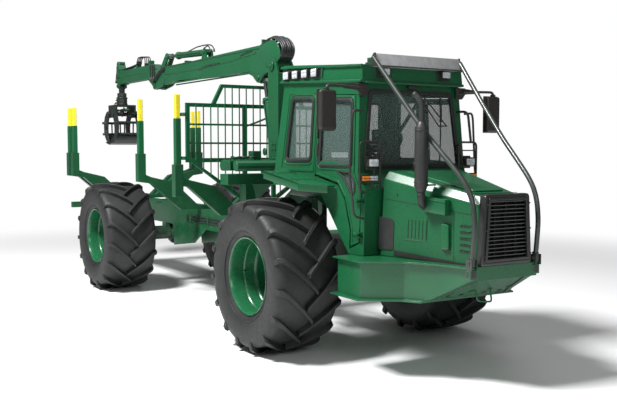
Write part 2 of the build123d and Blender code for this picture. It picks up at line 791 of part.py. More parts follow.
# Cross member at the tail, with a hitch plate.
with BuildPart() as tail_member:
    add(block((beam_rear_x - 60, beam_rear_x), (-1000, 1000), (1020, 1110)))
    add(block((beam_rear_x - 165, beam_rear_x), (-60, 60), (990, 1020)))
    add(bore((beam_rear_x - 120, 0, 970), (beam_rear_x - 120, 0, 1030), 20), mode=Mode.SUBTRACT)
finish(tail_member.part, "tail_member")

with BuildPart() as rear_lamps:
    for side in (1, -1):
        y = sorted((side * 860, side * 980))
        add(block((beam_rear_x - 100, beam_rear_x - 60), y, (1030, 1100)))
finish(rear_lamps.part, "rear_lamps")

# ---- Bunks with stake sleeves ----
bunk_half = ((0, 1160), (515, 1160), (930, 1515), (1100, 1540), (1100, 1668), (930, 1600), (600, 1520), (270, 1215))
bunk_outline = bunk_half[1:] + tuple((-y, z) for y, z in reversed(bunk_half[1:]))
with BuildPart() as bunks:
    for x, (low, high) in zip(bunk_xs, sleeve_z):
        add(cross_plate(bunk_outline, x - bunk_t / 2, x + bunk_t / 2))
        for side in (1, -1):
            y = (side * stake_y - sleeve_half, side * stake_y + sleeve_half)
            add(block((x - sleeve_half, x + sleeve_half), y, (low, high)))
            y = (side * stake_y - stake_half, side * stake_y + stake_half)
            add(block((x - stake_half, x + stake_half), y, (high - 220, high + 10)), mode=Mode.SUBTRACT)
finish(bunks.part, "bunks")

with BuildPart() as stakes:
    for x, (low, high) in zip(bunk_xs, sleeve_z):
        for side in (1, -1):
            y = (side * stake_y - stake_half, side * stake_y + stake_half)
            add(block((x - stake_half, x + stake_half), y, (high - 220, stake_top)))
finish(stakes.part, "stakes")

# ---- Headboard ----
board_x = (bunk_xs[0] + bunk_t / 2, bunk_xs[0] + bunk_t / 2 + 40)
board_bar = 12
crest = ((-640, 2500), (-520, 2730), (520, 2730), (640, 2500))
crest_gap = ((-590, 2500), (-492, 2690), (492, 2690), (590, 2500))
with BuildPart() as board_top:
    add(cross_plate(crest, *board_x))
    add(cross_plate(crest_gap, board_x[0] - 5, board_x[1] + 5), mode=Mode.SUBTRACT)
with BuildPart() as headboard:
    for y, z in (
        ((-975, 975), (2455, 2500)),
        ((-975, 975), (2240, 2262)),
        ((-975, 975), (2020, 2042)),
        ((-975, 975), (1805, 1855)),
        ((-975, -930), (1805, 2500)),
        ((930, 975), (1805, 2500)),
        ((-225, -175), (beam_top, 2500)),
        ((175, 225), (beam_top, 2500)),
    ):
        add(block(board_x, y, z))
    add(board_top.part)
    for side in (1, -1):
        strut = [(side * y, z) for y, z in ((930, 1850), (975, 1850), (225, 1320), (225, 1380))]
        add(cross_plate(strut, *board_x))
        for z in (1835, 2345):
            y = sorted((side * 975, side * (stake_y - stake_half)))
            add(block((bunk_xs[0] - 20, board_x[1]), y, (z, z + 40)))
    bar_x = (board_x[1], board_x[1] + board_bar)
    for step in range(-9, 10):
        y = step * 95
        high = 2700 if abs(y) < 480 else 2480
        add(block(bar_x, (y - board_bar / 2, y + board_bar / 2), (1830, high)))
finish(headboard.part, "headboard")

# ---- Crane base ----
with BuildPart() as crane_base:
    add(block((slew_x - 200, slew_x + 160), (-520, 520), (beam_top, beam_top + 30)))
    for side in (1, -1):
        leg = [(side * y, z) for y, z in ((330, 1190), (520, 1190), (520, 1560), (430, 1560))]
        add(cross_plate(leg, slew_x - 70, slew_x + 70))
    add(block((slew_x - 100, slew_x + 100), (-760, 760), (1560, 1680)))
    add(block((slew_x - 160, slew_x + 160), (-200, 200), (1680, slew_z - 6)))
    for x in (slew_x - 168, slew_x + 168):
        add(rod((x, -700, 1774), (x, 700, 1774), 62))
    add(bore((slew_x, 0, 1670), (slew_x, 0, 1900), 95 + run_gap), mode=Mode.SUBTRACT)
finish(crane_base.part, "crane_base")

# ---- Crane column ----
cheek_in = boom_half + side_gap
with BuildPart() as crane_column:
    add(block((slew_x - 120, slew_x + 120), (-120, 120), (slew_z, column_top_z)))
    add(block((slew_x - 104, slew_x + 104), (-104, 104), (slew_z + 60, column_top_z - 16)), mode=Mode.SUBTRACT)
    add(rod((slew_x, 0, 1690), (slew_x, 0, slew_z + 5), 95, 20))
    for y in ((cheek_in, 120), (-120, -cheek_in)):
        add(strap((slew_x, column_top_z - 30), boom_pin, 110, 75, *y))
        add(strap((slew_x - 60, lift_foot[1]), lift_foot, 55, 42, *sorted((y[0] / abs(y[0]) * 36, y[0] / abs(y[0]) * 60))))
    add(pin(boom_pin, -128, 128, pin_r))
    add(pin(lift_foot, -64, 64, 24))
finish(crane_column.part, "crane_column")


def spots(*outline):
    return [(front_axle_x + x, z) for x, z in outline]


# ---- Boom ----
boom_box = spots(
    (-1500, 2990), (-1780, 3200), (-2950, 3190), (-4860, 3164), (-5055, 2935), (-4260, 2943),
    (-2400, 2912), (-2000, 2880), (-1640, 2862), (-1500, 2862),
)
boom_room = spots((-1800, 3200), (-4840, 3164), (-5000, 2935), (-1800, 2900))
with BuildPart() as boom:
    add(side_plate(boom_box, -boom_half, boom_half))
    add(side_plate(grown(boom_room, -12), -73, 73), mode=Mode.SUBTRACT)
    add(pin(boom_pin, -boom_half, boom_half, 72))
    add(pin_bore(boom_pin, -boom_half, boom_half, pin_r + run_gap), mode=Mode.SUBTRACT)
    for side in (1, -1):
        ear_y = sorted((side * 36, side * 60))
        add(strap(lift_eye, (lift_eye[0] - 40, 2900), 50, 60, *ear_y))
        add(strap(fold_foot, (fold_foot[0], 3165), 42, 70, *ear_y))
        cheek = sorted((side * (stick_half + side_gap), side * 90))
        add(strap((front_axle_x - 4900, 3010), tip_pin, 100, 72, *cheek))
    add(pin(tip_pin, -96, 96, pin_r))
    add(pin(fold_foot, -62, 62, 22))
finish(boom.part, "boom")

# ---- Stick and its extension ----
tube_z = (3050, 3260)
stick_root = spots((-5150, 2872), (-5230, 2872), (-5540, 3050), (-5540, 3260), (-5300, 3260), (-5120, 3010))
with BuildPart() as stick:
    add(side_plate(stick_root, -stick_half, stick_half))
    add(pin(tip_pin, -stick_half, stick_half, 72))
    add(block((front_axle_x - 6750, front_axle_x - 5500), (-stick_half, stick_half), tube_z))
    add(block((front_axle_x - 6800, front_axle_x - 5490), (-57, 57), (tube_z[0] + 8, tube_z[1] - 8)), mode=Mode.SUBTRACT)
    for side in (1, -1):
        add(strap(tip_pin, fold_eye, 72, 45, *sorted((side * 31, side * 55))))
    add(pin_bore(tip_pin, -stick_half, stick_half, pin_r + run_gap), mode=Mode.SUBTRACT)
finish(stick.part, "stick")

with BuildPart() as extension:
    half = 57 - run_gap
    low, high = tube_z[0] + 8 + run_gap, tube_z[1] - 8 - run_gap
    add(block((front_axle_x - 6830, front_axle_x - 5510), (-half, half), (low, high)))
    add(block((front_axle_x - 6835, front_axle_x - 5500), (-half + 8, half - 8), (low + 8, high - 8)), mode=Mode.SUBTRACT)
    add(side_plate(spots((-6810, 3090), (-6935, 3090), (-6925, 3400), (-6880, 3430), (-6810, 3300)), -65, 65))
    for side in (1, -1):
        add(strap(head_pin, (head_pin[0], 3110), 42, 60, *sorted((side * 46, side * 65))))
    add(pin(head_pin, -70, 70, 22))
finish(extension.part, "extension")

# ---- Hanger, rotator and grapple ----
head_x = head_pin[0]
with BuildPart() as hanger:
    add(strap(head_pin, (head_x, 2900), 38, 32, -40, 40))
    add(rod((head_x, 0, 2840), (head_x, 0, 2900), 78))
    add(pin_bore(head_pin, -40, 40, 22 + run_gap), mode=Mode.SUBTRACT)
    add(bore((head_x, 0, 2830), (head_x, 0, 2885), 30 + run_gap), mode=Mode.SUBTRACT)
finish(hanger.part, "hanger")

jaw_dx = 130
jaw_z = 2545
ear_dx = 200
ear_z = 2612
with BuildPart() as grapple_frame:
    add(rod((head_x, 0, 2834), (head_x, 0, 2878), 30))
    add(rod((head_x, 0, 2696), (head_x, 0, 2834), 88))
    add(block((head_x - 190, head_x + 190), (-175, 175), (2676, 2698)))
    for y in ((150, 175), (-175, -150)):
        cheek = ((-190, 2698), (190, 2698), (190, 2530), (150, 2485), (-150, 2485), (-190, 2530))
        add(side_plate([(head_x + x, z) for x, z in cheek], *y))
    for side in (1, -1):
        add(pin_bore((head_x + side * jaw_dx, jaw_z), -180, 180, 30 + run_gap), mode=Mode.SUBTRACT)
finish(grapple_frame.part, "grapple_frame")

# One jaw on the forward side: shaft, two hooked arms, cross bars and the ears for the ram.
hook = (
    (110, 2585), (200, 2585), (300, 2510), (350, 2370), (338, 2230), (250, 2110), (10, 2030),
    (10, 2046), (190, 2150), (268, 2262), (272, 2360), (225, 2450), (150, 2505), (100, 2515),
)
with BuildPart() as jaw_local:
    add(pin((jaw_dx, jaw_z), -215, 215, 30))
    for side in (1, -1):
        add(side_plate(hook, *sorted((side * 181, side * 205))))
        add(strap((jaw_dx, jaw_z), (ear_dx, ear_z), 44, 26, *sorted((side * 36, side * 54))))
    add(bar((318, -240, 2400), (318, 240, 2400), 21))
    add(bar((300, -240, 2210), (300, 240, 2210), 21))
    lip = ((10, 2030), (60, 2047), (60, 2066), (10, 2046))
    add(side_plate(lip, -240, 240))
with BuildPart() as jaw_a:
    with Locations((head_x, 0, 0)):
        add(jaw_local.part)
    add(pin((head_x + ear_dx, ear_z), -56, 56, 14))
finish(jaw_a.part, "jaw_a")
with BuildPart() as jaw_b:
    with Locations(Location((head_x, 0, 0)) * Rotation(0, 0, 180)):
        add(jaw_local.part)
finish(jaw_b.part, "jaw_b")


# ---- Hydraulic cylinders ----
def ram(length, tube, pins, eye_half, rod_radius):
    """Barrel and rod along +Z, pinned about Y at the foot; tube is (start, end, radius)."""
    start, end, radius = tube
    pin_radius, eye_radius = pins
    with BuildPart() as barrel:
        add(strap((0, 0), (0, 1), eye_radius, eye_radius, -eye_half, eye_half))
        add(block((-eye_radius * 0.7, eye_radius * 0.7), (-eye_half, eye_half), (eye_radius * 0.5, start + 5)))
        add(rod((0, 0, start), (0, 0, end), radius))
        add(bore((0, 0, start + 12), (0, 0, end + 5), rod_radius + run_gap), mode=Mode.SUBTRACT)
        add(bore((0, -99, 0), (0, 99, 0), pin_radius + run_gap), mode=Mode.SUBTRACT)
    with BuildPart() as slider:
        add(rod((0, 0, end - 15), (0, 0, length - eye_radius * 0.6), rod_radius))
        add(strap((0, length), (0, length + 1), eye_radius, eye_radius, -eye_half, eye_half))
        add(bore((0, -99, length), (0, 99, length), pin_radius + run_gap), mode=Mode.SUBTRACT)
    return barrel.part, slider.part


# Rows: names, foot, eye, the pin's direction, tube (start, end, radius), pin and eye radius,
# half width of the eye, rod radius, how far the rod goes on into the barrel.
def lift(spot):
    return (spot[0], 0, spot[1])


def steer(spot, side):
    return (spot[0], side * spot[1], steer_z)


upright = (0, 0, 1)
across = (0, 1, 0)
rams = (
    ("lift", lift(lift_foot), lift(lift_eye), across, (80, 660, 52), (24, 40), 30, 28, 480),
    ("fold", lift(fold_foot), lift(fold_eye), across, (80, 980, 46), (22, 38), 25, 24, 700),
    ("grapple", (head_x + ear_dx, 0, ear_z), (head_x - ear_dx, 0, ear_z), across, (30, 232, 26), (14, 24), 30, 14, 45),
    ("steer_left", steer(steer_front_pin, 1), steer(steer_rear_pin, 1), upright, (80, 660, 38), (18, 32), 26, 22, 298),
    ("steer_right", steer(steer_front_pin, -1), steer(steer_rear_pin, -1), upright, (80, 660, 38), (18, 32), 26, 22, 298),
)
for name, foot, eye, hinge, tube, pins, eye_half, rod_radius, inside in rams:
    way = Vector(eye) - Vector(foot)
    spot = Plane(origin=foot, x_dir=Vector(hinge).cross(way), z_dir=way)
    barrel, slider = ram(way.length, tube, pins, eye_half, rod_radius)
    with BuildPart() as barrel_part:
        with Locations(spot.location):
            add(barrel)
    finish(barrel_part.part, name + "_barrel")
    with BuildPart() as rod_part:
        with Locations(spot.location):
            add(slider)
            add(rod((0, 0, tube[1] - inside), (0, 0, tube[1]), rod_radius))
    finish(rod_part.part, name + "_rod")
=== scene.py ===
import json
import math
import bpy
from mathutils import Matrix, Vector


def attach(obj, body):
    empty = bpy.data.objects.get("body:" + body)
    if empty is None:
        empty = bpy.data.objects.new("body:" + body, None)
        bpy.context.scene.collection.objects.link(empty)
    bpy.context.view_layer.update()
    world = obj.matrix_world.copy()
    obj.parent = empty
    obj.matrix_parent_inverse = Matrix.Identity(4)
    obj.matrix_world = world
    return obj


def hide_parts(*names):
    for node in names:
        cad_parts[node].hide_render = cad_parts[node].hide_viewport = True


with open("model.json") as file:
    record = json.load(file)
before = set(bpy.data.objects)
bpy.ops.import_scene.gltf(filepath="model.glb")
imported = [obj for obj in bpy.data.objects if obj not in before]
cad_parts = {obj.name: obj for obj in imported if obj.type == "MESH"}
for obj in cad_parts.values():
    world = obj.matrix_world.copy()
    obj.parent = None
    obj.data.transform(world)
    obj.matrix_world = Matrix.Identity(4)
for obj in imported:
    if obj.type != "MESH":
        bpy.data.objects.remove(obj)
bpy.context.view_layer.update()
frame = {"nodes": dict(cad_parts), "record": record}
axleX = 2.525  # front axle
axleZ = 0.7486
rearAxleX = axleX - 4.49
print("frame loaded", len(frame["nodes"]))


# small shop tools
def deselectAll():
    if bpy.context.object and bpy.context.object.mode != "OBJECT":
        bpy.ops.object.mode_set(mode="OBJECT")
    bpy.ops.object.select_all(action="DESELECT")


def pick(*objs):
    deselectAll()
    for obj in objs:
        obj.select_set(True)
    bpy.context.view_layer.objects.active = objs[0]


def bakePlace(obj):
    pick(obj)
    bpy.ops.object.transform_apply(location=True, rotation=True, scale=True)
    return obj


def applyAll(obj):
    pick(obj)
    for modifier in list(obj.modifiers):
        bpy.ops.object.modifier_apply(modifier=modifier.name)
    return obj


def roundEdges(obj, width, segments=2, angle=35):
    bevel = obj.modifiers.new("edges", "BEVEL")
    bevel.width = width
    bevel.segments = segments
    bevel.limit_method = "ANGLE"
    bevel.angle_limit = math.radians(angle)
    return applyAll(obj)


def smooth(obj, angle=40):
    pick(obj)
    bpy.ops.object.shade_smooth_by_angle(angle=math.radians(angle))
    return obj


def linked(name, data):
    obj = bpy.data.objects.new(name, data)
    bpy.context.collection.objects.link(obj)
    return obj


def meshEdit(obj):
    pick(obj)
    bpy.ops.object.mode_set(mode="EDIT")
    bpy.ops.mesh.select_all(action="SELECT")


def endEdit():
    bpy.ops.object.mode_set(mode="OBJECT")


def fixNormals(obj, merge=0.0001):
    meshEdit(obj)
    bpy.ops.mesh.remove_doubles(threshold=merge)
    bpy.ops.mesh.normals_make_consistent(inside=False)
    endEdit()
    return obj


def joined(name, pieces):
    pick(*pieces)
    if len(pieces) > 1:
        bpy.ops.object.join()
    whole = bpy.context.object
    whole.name = name
    whole.data.name = name
    return whole


def paintWith(obj, material):
    obj.data.materials.clear()
    obj.data.materials.append(material)
    return obj


def boxPiece(name, x, y, z, edge=0.003, segments=2):
    middle = ((x[0] + x[1]) / 2, (y[0] + y[1]) / 2, (z[0] + z[1]) / 2)
    deselectAll()
    bpy.ops.mesh.primitive_cube_add(size=1, location=middle)
    obj = bpy.context.object
    obj.name = name
    obj.scale = (abs(x[1] - x[0]), abs(y[1] - y[0]), abs(z[1] - z[0]))
    bakePlace(obj)
    if edge:
        roundEdges(obj, edge, segments)
    return obj


def drumPiece(name, start, end, radius, sides=24, edge=0.004, topRadius=None):
    start, end = Vector(start), Vector(end)
    along = end - start
    deselectAll()
    bpy.ops.mesh.primitive_cone_add(
        vertices=sides,
        radius1=radius,
        radius2=radius if topRadius is None else topRadius,
        depth=along.length,
        location=(start + end) / 2,
        rotation=along.to_track_quat("Z", "Y").to_euler(),
    )
    obj = bpy.context.object
    obj.name = name
    bakePlace(obj)
    if edge:
        roundEdges(obj, edge, 2, 50)
    return smooth(obj, 50)


def curveMesh(name, curve):
    pick(linked(name, curve))
    bpy.ops.object.convert(target="MESH")
    return bpy.context.object


def addSpline(curve, kind, points, closed=False):
    spline = curve.splines.new(kind)
    spline.points.add(len(points) - 1)
    for point, spot in zip(spline.points, points):
        point.co = (*spot, 0, 1) if len(spot) == 2 else (*spot, 1)
    spline.use_cyclic_u = closed
    return spline


def tubePiece(name, points, radius, sides=3, closed=False, poly=False, order=4):
    curve = bpy.data.curves.new(name, "CURVE")
    curve.dimensions = "3D"
    curve.bevel_depth = radius
    curve.bevel_resolution = sides
    curve.use_fill_caps = True
    spline = addSpline(curve, "POLY" if poly else "NURBS", points, closed)
    if not poly:
        spline.order_u = order
        spline.use_endpoint_u = not closed
        spline.resolution_u = 6
    return smooth(curveMesh(name, curve), 60)


def crossDrum(name, x, z, y, radius, sides=24, edge=0.004):
    return drumPiece(name, (x, y[0], z), (x, y[1], z), radius, sides, edge)


def upDrum(name, x, y, z, radius, sides=24, edge=0.004, topRadius=None):
    return drumPiece(name, (x, y, z[0]), (x, y, z[1]), radius, sides, edge, topRadius)


def roundCorner(before, here, after, radius, steps):
    # the points of one rounded corner
    back, ahead = before - here, after - here
    reach = min(radius, back.length * 0.45, ahead.length * 0.45)
    first, last = here + back.normalized() * reach, here + ahead.normalized() * reach
    ts = [step / steps for step in range(steps + 1)]
    return [first * (1 - t) ** 2 + here * 2 * t * (1 - t) + last * t**2 for t in ts]


def bentPoints(points, radius, steps=5):
    # rounds the corners of a run of straight bars
    spots = [Vector(p) for p in points]
    path = [spots[0]]
    for before, here, after in zip(spots, spots[1:], spots[2:]):
        path += roundCorner(before, here, after, radius, steps)
    return path + [spots[-1]]


def bentTube(name, points, radius, bend=0.06, sides=3, closed=False):
    return tubePiece(name, bentPoints(points, bend), radius, sides, closed, poly=True)


def rod(name, points, radius, sides=3):
    return tubePiece(name, points, radius, sides, poly=True)


def roundedOutline(corners, radius, steps=4):
    loop = [Vector((*c, 0)) for c in corners]
    path = []
    for i, here in enumerate(loop):
        path += roundCorner(loop[i - 1], here, loop[(i + 1) % len(loop)], radius, steps)
    return [(p.x, p.y) for p in path]


def platePiece(name, outlines, thick, place, edge=0.002, steps=2):
    # a flat curve with its holes, thickened, then stood up by its matrix
    curve = bpy.data.curves.new(name, "CURVE")
    curve.dimensions = "2D"
    curve.fill_mode = "BOTH"
    curve.extrude = max(thick / 2 - edge, 0.0002)
    curve.bevel_depth = edge
    curve.bevel_resolution = steps
    curve.offset = -edge
    for outline in outlines:
        addSpline(curve, "POLY", outline, True)
    obj = curveMesh(name, curve)
    obj.matrix_world = place
    bakePlace(obj)
    fixNormals(obj, 0.00005)
    return smooth(obj, 30)


def laid(name, outlines, thick, place, out=0.0, edge=0.002, steps=2):
    # a plate built flat, then laid on a flat frame
    plate = platePiece(name, outlines, thick, Matrix.Identity(4), edge, steps)
    return placed(plate, place @ Matrix.Translation((0, 0, out)))


def sidePlace(y=0.0):
    # an outline of (x, z), thickened along Y
    return Matrix(((1, 0, 0, 0), (0, 0, -1, y), (0, 1, 0, 0), (0, 0, 0, 1)))


def crossPlace(x=0.0):
    # an outline of (y, z), thickened along X
    return Matrix(((0, 0, 1, x), (1, 0, 0, 0), (0, 1, 0, 0), (0, 0, 0, 1)))


def axes(u, v, n, origin):
    return Matrix((*zip(u, v, n, origin), (0, 0, 0, 1)))


def planeFrame(corner, along, up, out=0.0, side=1):
    # a flat frame on three points, with its third axis towards one side
    corner, along, up = Vector(corner), Vector(along), Vector(up)
    u = (along - corner).normalized()
    n = u.cross(up - corner).normalized() * side
    v = n.cross(u) * side
    return axes(u, v, n, corner + n * out)


def circle(middle, radius, count, high=None):
    turns = [math.tau * i / count for i in range(count)]
    high = high or radius
    return [(middle[0] + radius * math.cos(a), middle[1] + high * math.sin(a)) for a in turns]


def rectangle(u, v, radius=0.0, steps=3):
    corners = [(u[0], v[0]), (u[1], v[0]), (u[1], v[1]), (u[0], v[1])]
    return roundedOutline(corners, radius, steps) if radius else corners


def offsetLoop(corners, reach):
    # a closed outline moved outwards, corner by corner
    area = sum(a[0] * b[1] - b[0] * a[1] for a, b in zip(corners, corners[1:] + corners[:1]))
    turn = 1 if area > 0 else -1
    moved = []
    for i, here in enumerate(corners):
        before, after = corners[i - 1], corners[(i + 1) % len(corners)]
        one = Vector((here[0] - before[0], here[1] - before[1])).normalized()
        two = Vector((after[0] - here[0], after[1] - here[1])).normalized()
        first, second = Vector((one.y, -one.x)) * turn, Vector((two.y, -two.x)) * turn
        middle = first + second
        middle = middle / max(middle.length_squared / 2, 0.2)
        moved.append((here[0] + middle.x * reach, here[1] + middle.y * reach))
    return moved


def placed(obj, matrix):
    # sets a piece built flat at the origin into its place
    flipped = matrix.determinant() < 0
    obj.data.transform(matrix)
    if flipped:
        obj.data.flip_normals()
    return obj


def span(middle, half):
    return (middle - half, middle + half)


def atAxle(points):
    return [(x + axleX, *rest) for x, *rest in points]


def copyPiece(obj, name, matrix=None):
    twin = linked(name, obj.data.copy())
    if matrix is not None:
        twin.matrix_world = matrix
        bakePlace(twin)
        if matrix.determinant() < 0:
            meshEdit(twin)
            bpy.ops.mesh.flip_normals()
            endEdit()
    return twin


def mirrored(obj, name):
    return copyPiece(obj, name, Matrix.Scale(-1, 4, (0, 1, 0)))


def nodeCopy(node, name):
    twin = linked(name, frame["nodes"][node].data.copy())
    twin.data.materials.clear()
    meshEdit(twin)
    bpy.ops.mesh.remove_doubles(threshold=0.00003)
    bpy.ops.mesh.dissolve_limited(angle_limit=math.radians(2))
    endEdit()
    return twin


def bodyOf(node):
    for body, nodes in frame["record"]["behaviour"]["bodies"].items():
        if node in nodes:
            return body
    return "root"


def softened(node, name, width, material, segments=2, angle=22):
    # the node's own form with rounded edges and flat sides
    piece = nodeCopy(node, name)
    roundEdges(piece, width, segments, angle)
    for polygon in piece.data.polygons:
        polygon.use_smooth = True
    modifier = piece.modifiers.new("FlatSides", "WEIGHTED_NORMAL")
    modifier.keep_sharp = False
    modifier.weight = 80
    applyAll(piece)
    paintWith(piece, material)
    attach(piece, bodyOf(node))
    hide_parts(node)
    return piece


def rideSlot(obj, body, material=None):
    if material:
        paintWith(obj, material)
    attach(obj, body)
    return obj


def dress(name, parts, node, material):
    return rideSlot(joined(name, parts), bodyOf(node), material)


# materials
def newMaterial(name):
    material = bpy.data.materials.new(name)
    material.use_nodes = True
    tree = material.node_tree
    shader = tree.nodes["Principled BSDF"]
    coords = tree.nodes.new("ShaderNodeTexCoord")
    return material, tree, shader, coords.outputs["Object"]


def noiseNode(tree, where, scale, detail=4.0, rough=0.55):
    noise = tree.nodes.new("ShaderNodeTexNoise")
    noise.inputs["Scale"].default_value = scale
    noise.inputs["Detail"].default_value = detail
    noise.inputs["Roughness"].default_value = rough
    tree.links.new(where, noise.inputs["Vector"])
    return noise.outputs["Fac"]


def rampNode(tree, factor, stops):
    ramp = tree.nodes.new("ShaderNodeValToRGB")
    ramp.color_ramp.elements[0].position, ramp.color_ramp.elements[0].color = stops[0][0], stops[0][1]
    ramp.color_ramp.elements[1].position, ramp.color_ramp.elements[1].color = stops[-1][0], stops[-1][1]
    for position, colour in stops[1:-1]:
        ramp.color_ramp.elements.new(position).color = colour
    tree.links.new(factor, ramp.inputs["Fac"])
    return ramp.outputs["Color"]


def mottle(tree, where, noise, stops):
    return rampNode(tree, noiseNode(tree, where, *noise), stops)


def grey(value):
    return (value, value, value, 1)


def mixNode(tree, factor, one, two, kind="MIX"):
    mix = tree.nodes.new("ShaderNodeMix")
    mix.data_type = "RGBA"
    mix.blend_type = kind
    for socket, value in ((mix.inputs[0], factor), (mix.inputs[6], one), (mix.inputs[7], two)):
        if isinstance(value, (int, float, tuple)):
            socket.default_value = value
        else:
            tree.links.new(value, socket)
    return mix.outputs[2]


def bumpNode(tree, shader, height, strength, distance=0.001):
    bump = tree.nodes.new("ShaderNodeBump")
    bump.inputs["Strength"].default_value = strength
    bump.inputs["Distance"].default_value = distance
    tree.links.new(height, bump.inputs["Height"])
    tree.links.new(bump.outputs["Normal"], shader.inputs["Normal"])


def heightRamp(tree, where, low, high):
    # 0 at the low height, 1 at the high one
    split = tree.nodes.new("ShaderNodeSeparateXYZ")
    tree.links.new(where, split.inputs[0])
    rise = tree.nodes.new("ShaderNodeMapRange")
    rise.inputs["From Min"].default_value = low
    rise.inputs["From Max"].default_value = high
    tree.links.new(split.outputs["Z"], rise.inputs["Value"])
    return rise.outputs["Result"]


def mathNode(tree, kind, one, two):
    node = tree.nodes.new("ShaderNodeMath")
    node.operation = kind
    tree.links.new(one, node.inputs[0])
    tree.links.new(two, node.inputs[1])
    return node.outputs[0]


def directRays(tree):
    # 1 for what is seen straight on or through glass
    rays = tree.nodes.new("ShaderNodeLightPath")
    return mathNode(tree, "MAXIMUM", rays.outputs["Is Camera Ray"], rays.outputs["Is Transmission Ray"])


def mixShaders(tree, factor, one, two, output):
    mix = tree.nodes.new("ShaderNodeMixShader")
    for socket, value in zip(mix.inputs, (factor, one, two)):
        tree.links.new(value, socket)
    tree.links.new(mix.outputs[0], output.inputs["Surface"])


def surface(tree, shader, shade, gloss):
    tree.links.new(shade, shader.inputs["Base Color"])
    tree.links.new(gloss, shader.inputs["Roughness"])


def paintMaterial(name, colour, deep, roughness, dust=0.25, peel=0.12):
    # sprayed paint: slow shade drift, a film of dust near the ground, orange peel and scuffs
    material, tree, shader, where = newMaterial(name)
    drift = mottle(tree, where, (1.7, 3.0), [(0.35, (*deep, 1)), (0.65, (*colour, 1))])
    dusty = mottle(tree, where, (9.0, 8.0, 0.7), [(0.48, grey(0)), (0.75, grey(dust))])
    low = rampNode(tree, heightRamp(tree, where, 0.4, 1.7), [(0.0, grey(1)), (1.0, grey(0.15))])
    film = mixNode(tree, 1.0, dusty, low, "MULTIPLY")
    shade = mixNode(tree, film, drift, (0.17, 0.19, 0.15, 1))
    scuff = mottle(tree, where, (55.0, 6.0, 0.65), [(0.3, grey(roughness - 0.06)), (0.75, grey(roughness + 0.12))])
    surface(tree, shader, shade, scuff)
    shader.inputs["Coat Weight"].default_value = 0.2
    shader.inputs["Coat Roughness"].default_value = 0.16
    bumpNode(tree, shader, noiseNode(tree, where, 420.0, 2.0), peel * 0.5, 0.0004)
    return material


def plainMaterial(name, dark, light, roughness, grain=80.0, bump=0.2, distance=0.0008, metallic=0.0):
    material, tree, shader, where = newMaterial(name)
    shade = mottle(tree, where, (grain * 0.2, 5.0), [(0.3, (*dark, 1)), (0.7, (*light, 1))])
    gloss = mottle(tree, where, (grain * 0.5, 4.0), [(0.3, grey(roughness - 0.07)), (0.7, grey(roughness + 0.08))])
    surface(tree, shader, shade, gloss)
    shader.inputs["Metallic"].default_value = metallic
    bumpNode(tree, shader, noiseNode(tree, where, grain, 6.0, 0.6), bump, distance)
    return material


greens = {
    "leaf": (0.006, 0.094, 0.034), "deep": (0.005, 0.088, 0.03),
    "frame": (0.006, 0.08, 0.028), "iron": (0.008, 0.055, 0.024),
}
bodyPaint = paintMaterial("bodyPaint", greens["leaf"], greens["deep"], 0.3, 0.05)
framePaint = paintMaterial("framePaint", greens["frame"], (0.008, 0.066, 0.026), 0.36, 0.35)
cranePaint = paintMaterial("cranePaint", (0.012, 0.09, 0.038), greens["frame"], 0.32, 0.05)
axlePaint = paintMaterial("axlePaint", greens["iron"], (0.009, 0.045, 0.02), 0.45, 0.5, 0.5)
rimPaint = paintMaterial("rimPaint", (0.012, 0.115, 0.045), (0.01, 0.1, 0.038), 0.24, 0.15)
guardPaint = paintMaterial("guardPaint", (0.035, 0.045, 0.038), (0.022, 0.03, 0.025), 0.36, 0.2)
grapplePaint = paintMaterial("grapplePaint", (0.014, 0.022, 0.018), (0.01, 0.014, 0.012), 0.4, 0.2, 0.4)
blackPaint = paintMaterial("blackPaint", (0.022, 0.023, 0.022), (0.014, 0.015, 0.015), 0.38, 0.15)
exhaustPaint = plainMaterial("exhaustPaint", (0.012, 0.013, 0.013), (0.022, 0.023, 0.023), 0.5, 90.0, 0.25)
sealRubber = plainMaterial("sealRubber", (0.012, 0.013, 0.013), (0.022, 0.023, 0.023), 0.55, 160.0, 0.15)
darkPlastic = plainMaterial("darkPlastic", (0.02, 0.018, 0.017), (0.032, 0.029, 0.027), 0.42, 240.0, 0.35)
hoseRubber = plainMaterial("hoseRubber", (0.016, 0.017, 0.018), (0.03, 0.031, 0.033), 0.45, 120.0, 0.2)
engineIron = plainMaterial("engineIron", (0.03, 0.03, 0.03), (0.06, 0.06, 0.058), 0.6, 60.0, 0.5)
# light grey on the visor's black sheet: a painted reflection of the bright surroundings
visorPaintedReflection = plainMaterial("visorPaintedReflection", (0.38, 0.385, 0.39), (0.48, 0.485, 0.49), 0.42, 90.0, 0.15)
chrome = plainMaterial("chrome", (0.62, 0.63, 0.64), (0.72, 0.73, 0.74), 0.14, 60.0, 0.03, metallic=1.0)
lensWhite = plainMaterial("lensWhite", (0.4, 0.43, 0.45), (0.6, 0.63, 0.65), 0.16, 130.0, 0.3)
amber = plainMaterial("amber", (0.75, 0.2, 0.02), (0.85, 0.27, 0.03), 0.2, 130.0, 0.2)
redLens = plainMaterial("redLens", (0.45, 0.015, 0.012), (0.55, 0.02, 0.015), 0.2, 130.0, 0.2)


def rubberMaterial():
    # carcass rubber with pale dust in patches and a fine moulded grain
    material, tree, shader, where = newMaterial("tyreRubber")
    base = mottle(tree, where, (3.0, 5.0), [(0.3, (0.008, 0.0088, 0.0084, 1)), (0.7, (0.013, 0.014, 0.0135, 1))])
    dusty = mottle(tree, where, (14.0, 9.0, 0.7), [(0.45, grey(0)), (0.8, grey(0.35))])
    shade = mixNode(tree, dusty, base, (0.036, 0.037, 0.034, 1))
    gloss = mottle(tree, where, (30.0, 4.0), [(0.3, grey(0.52)), (0.7, grey(0.68))])
    surface(tree, shader, shade, gloss)
    bumpNode(tree, shader, noiseNode(tree, where, 160.0, 8.0, 0.65), 0.35, 0.0012)
    return material


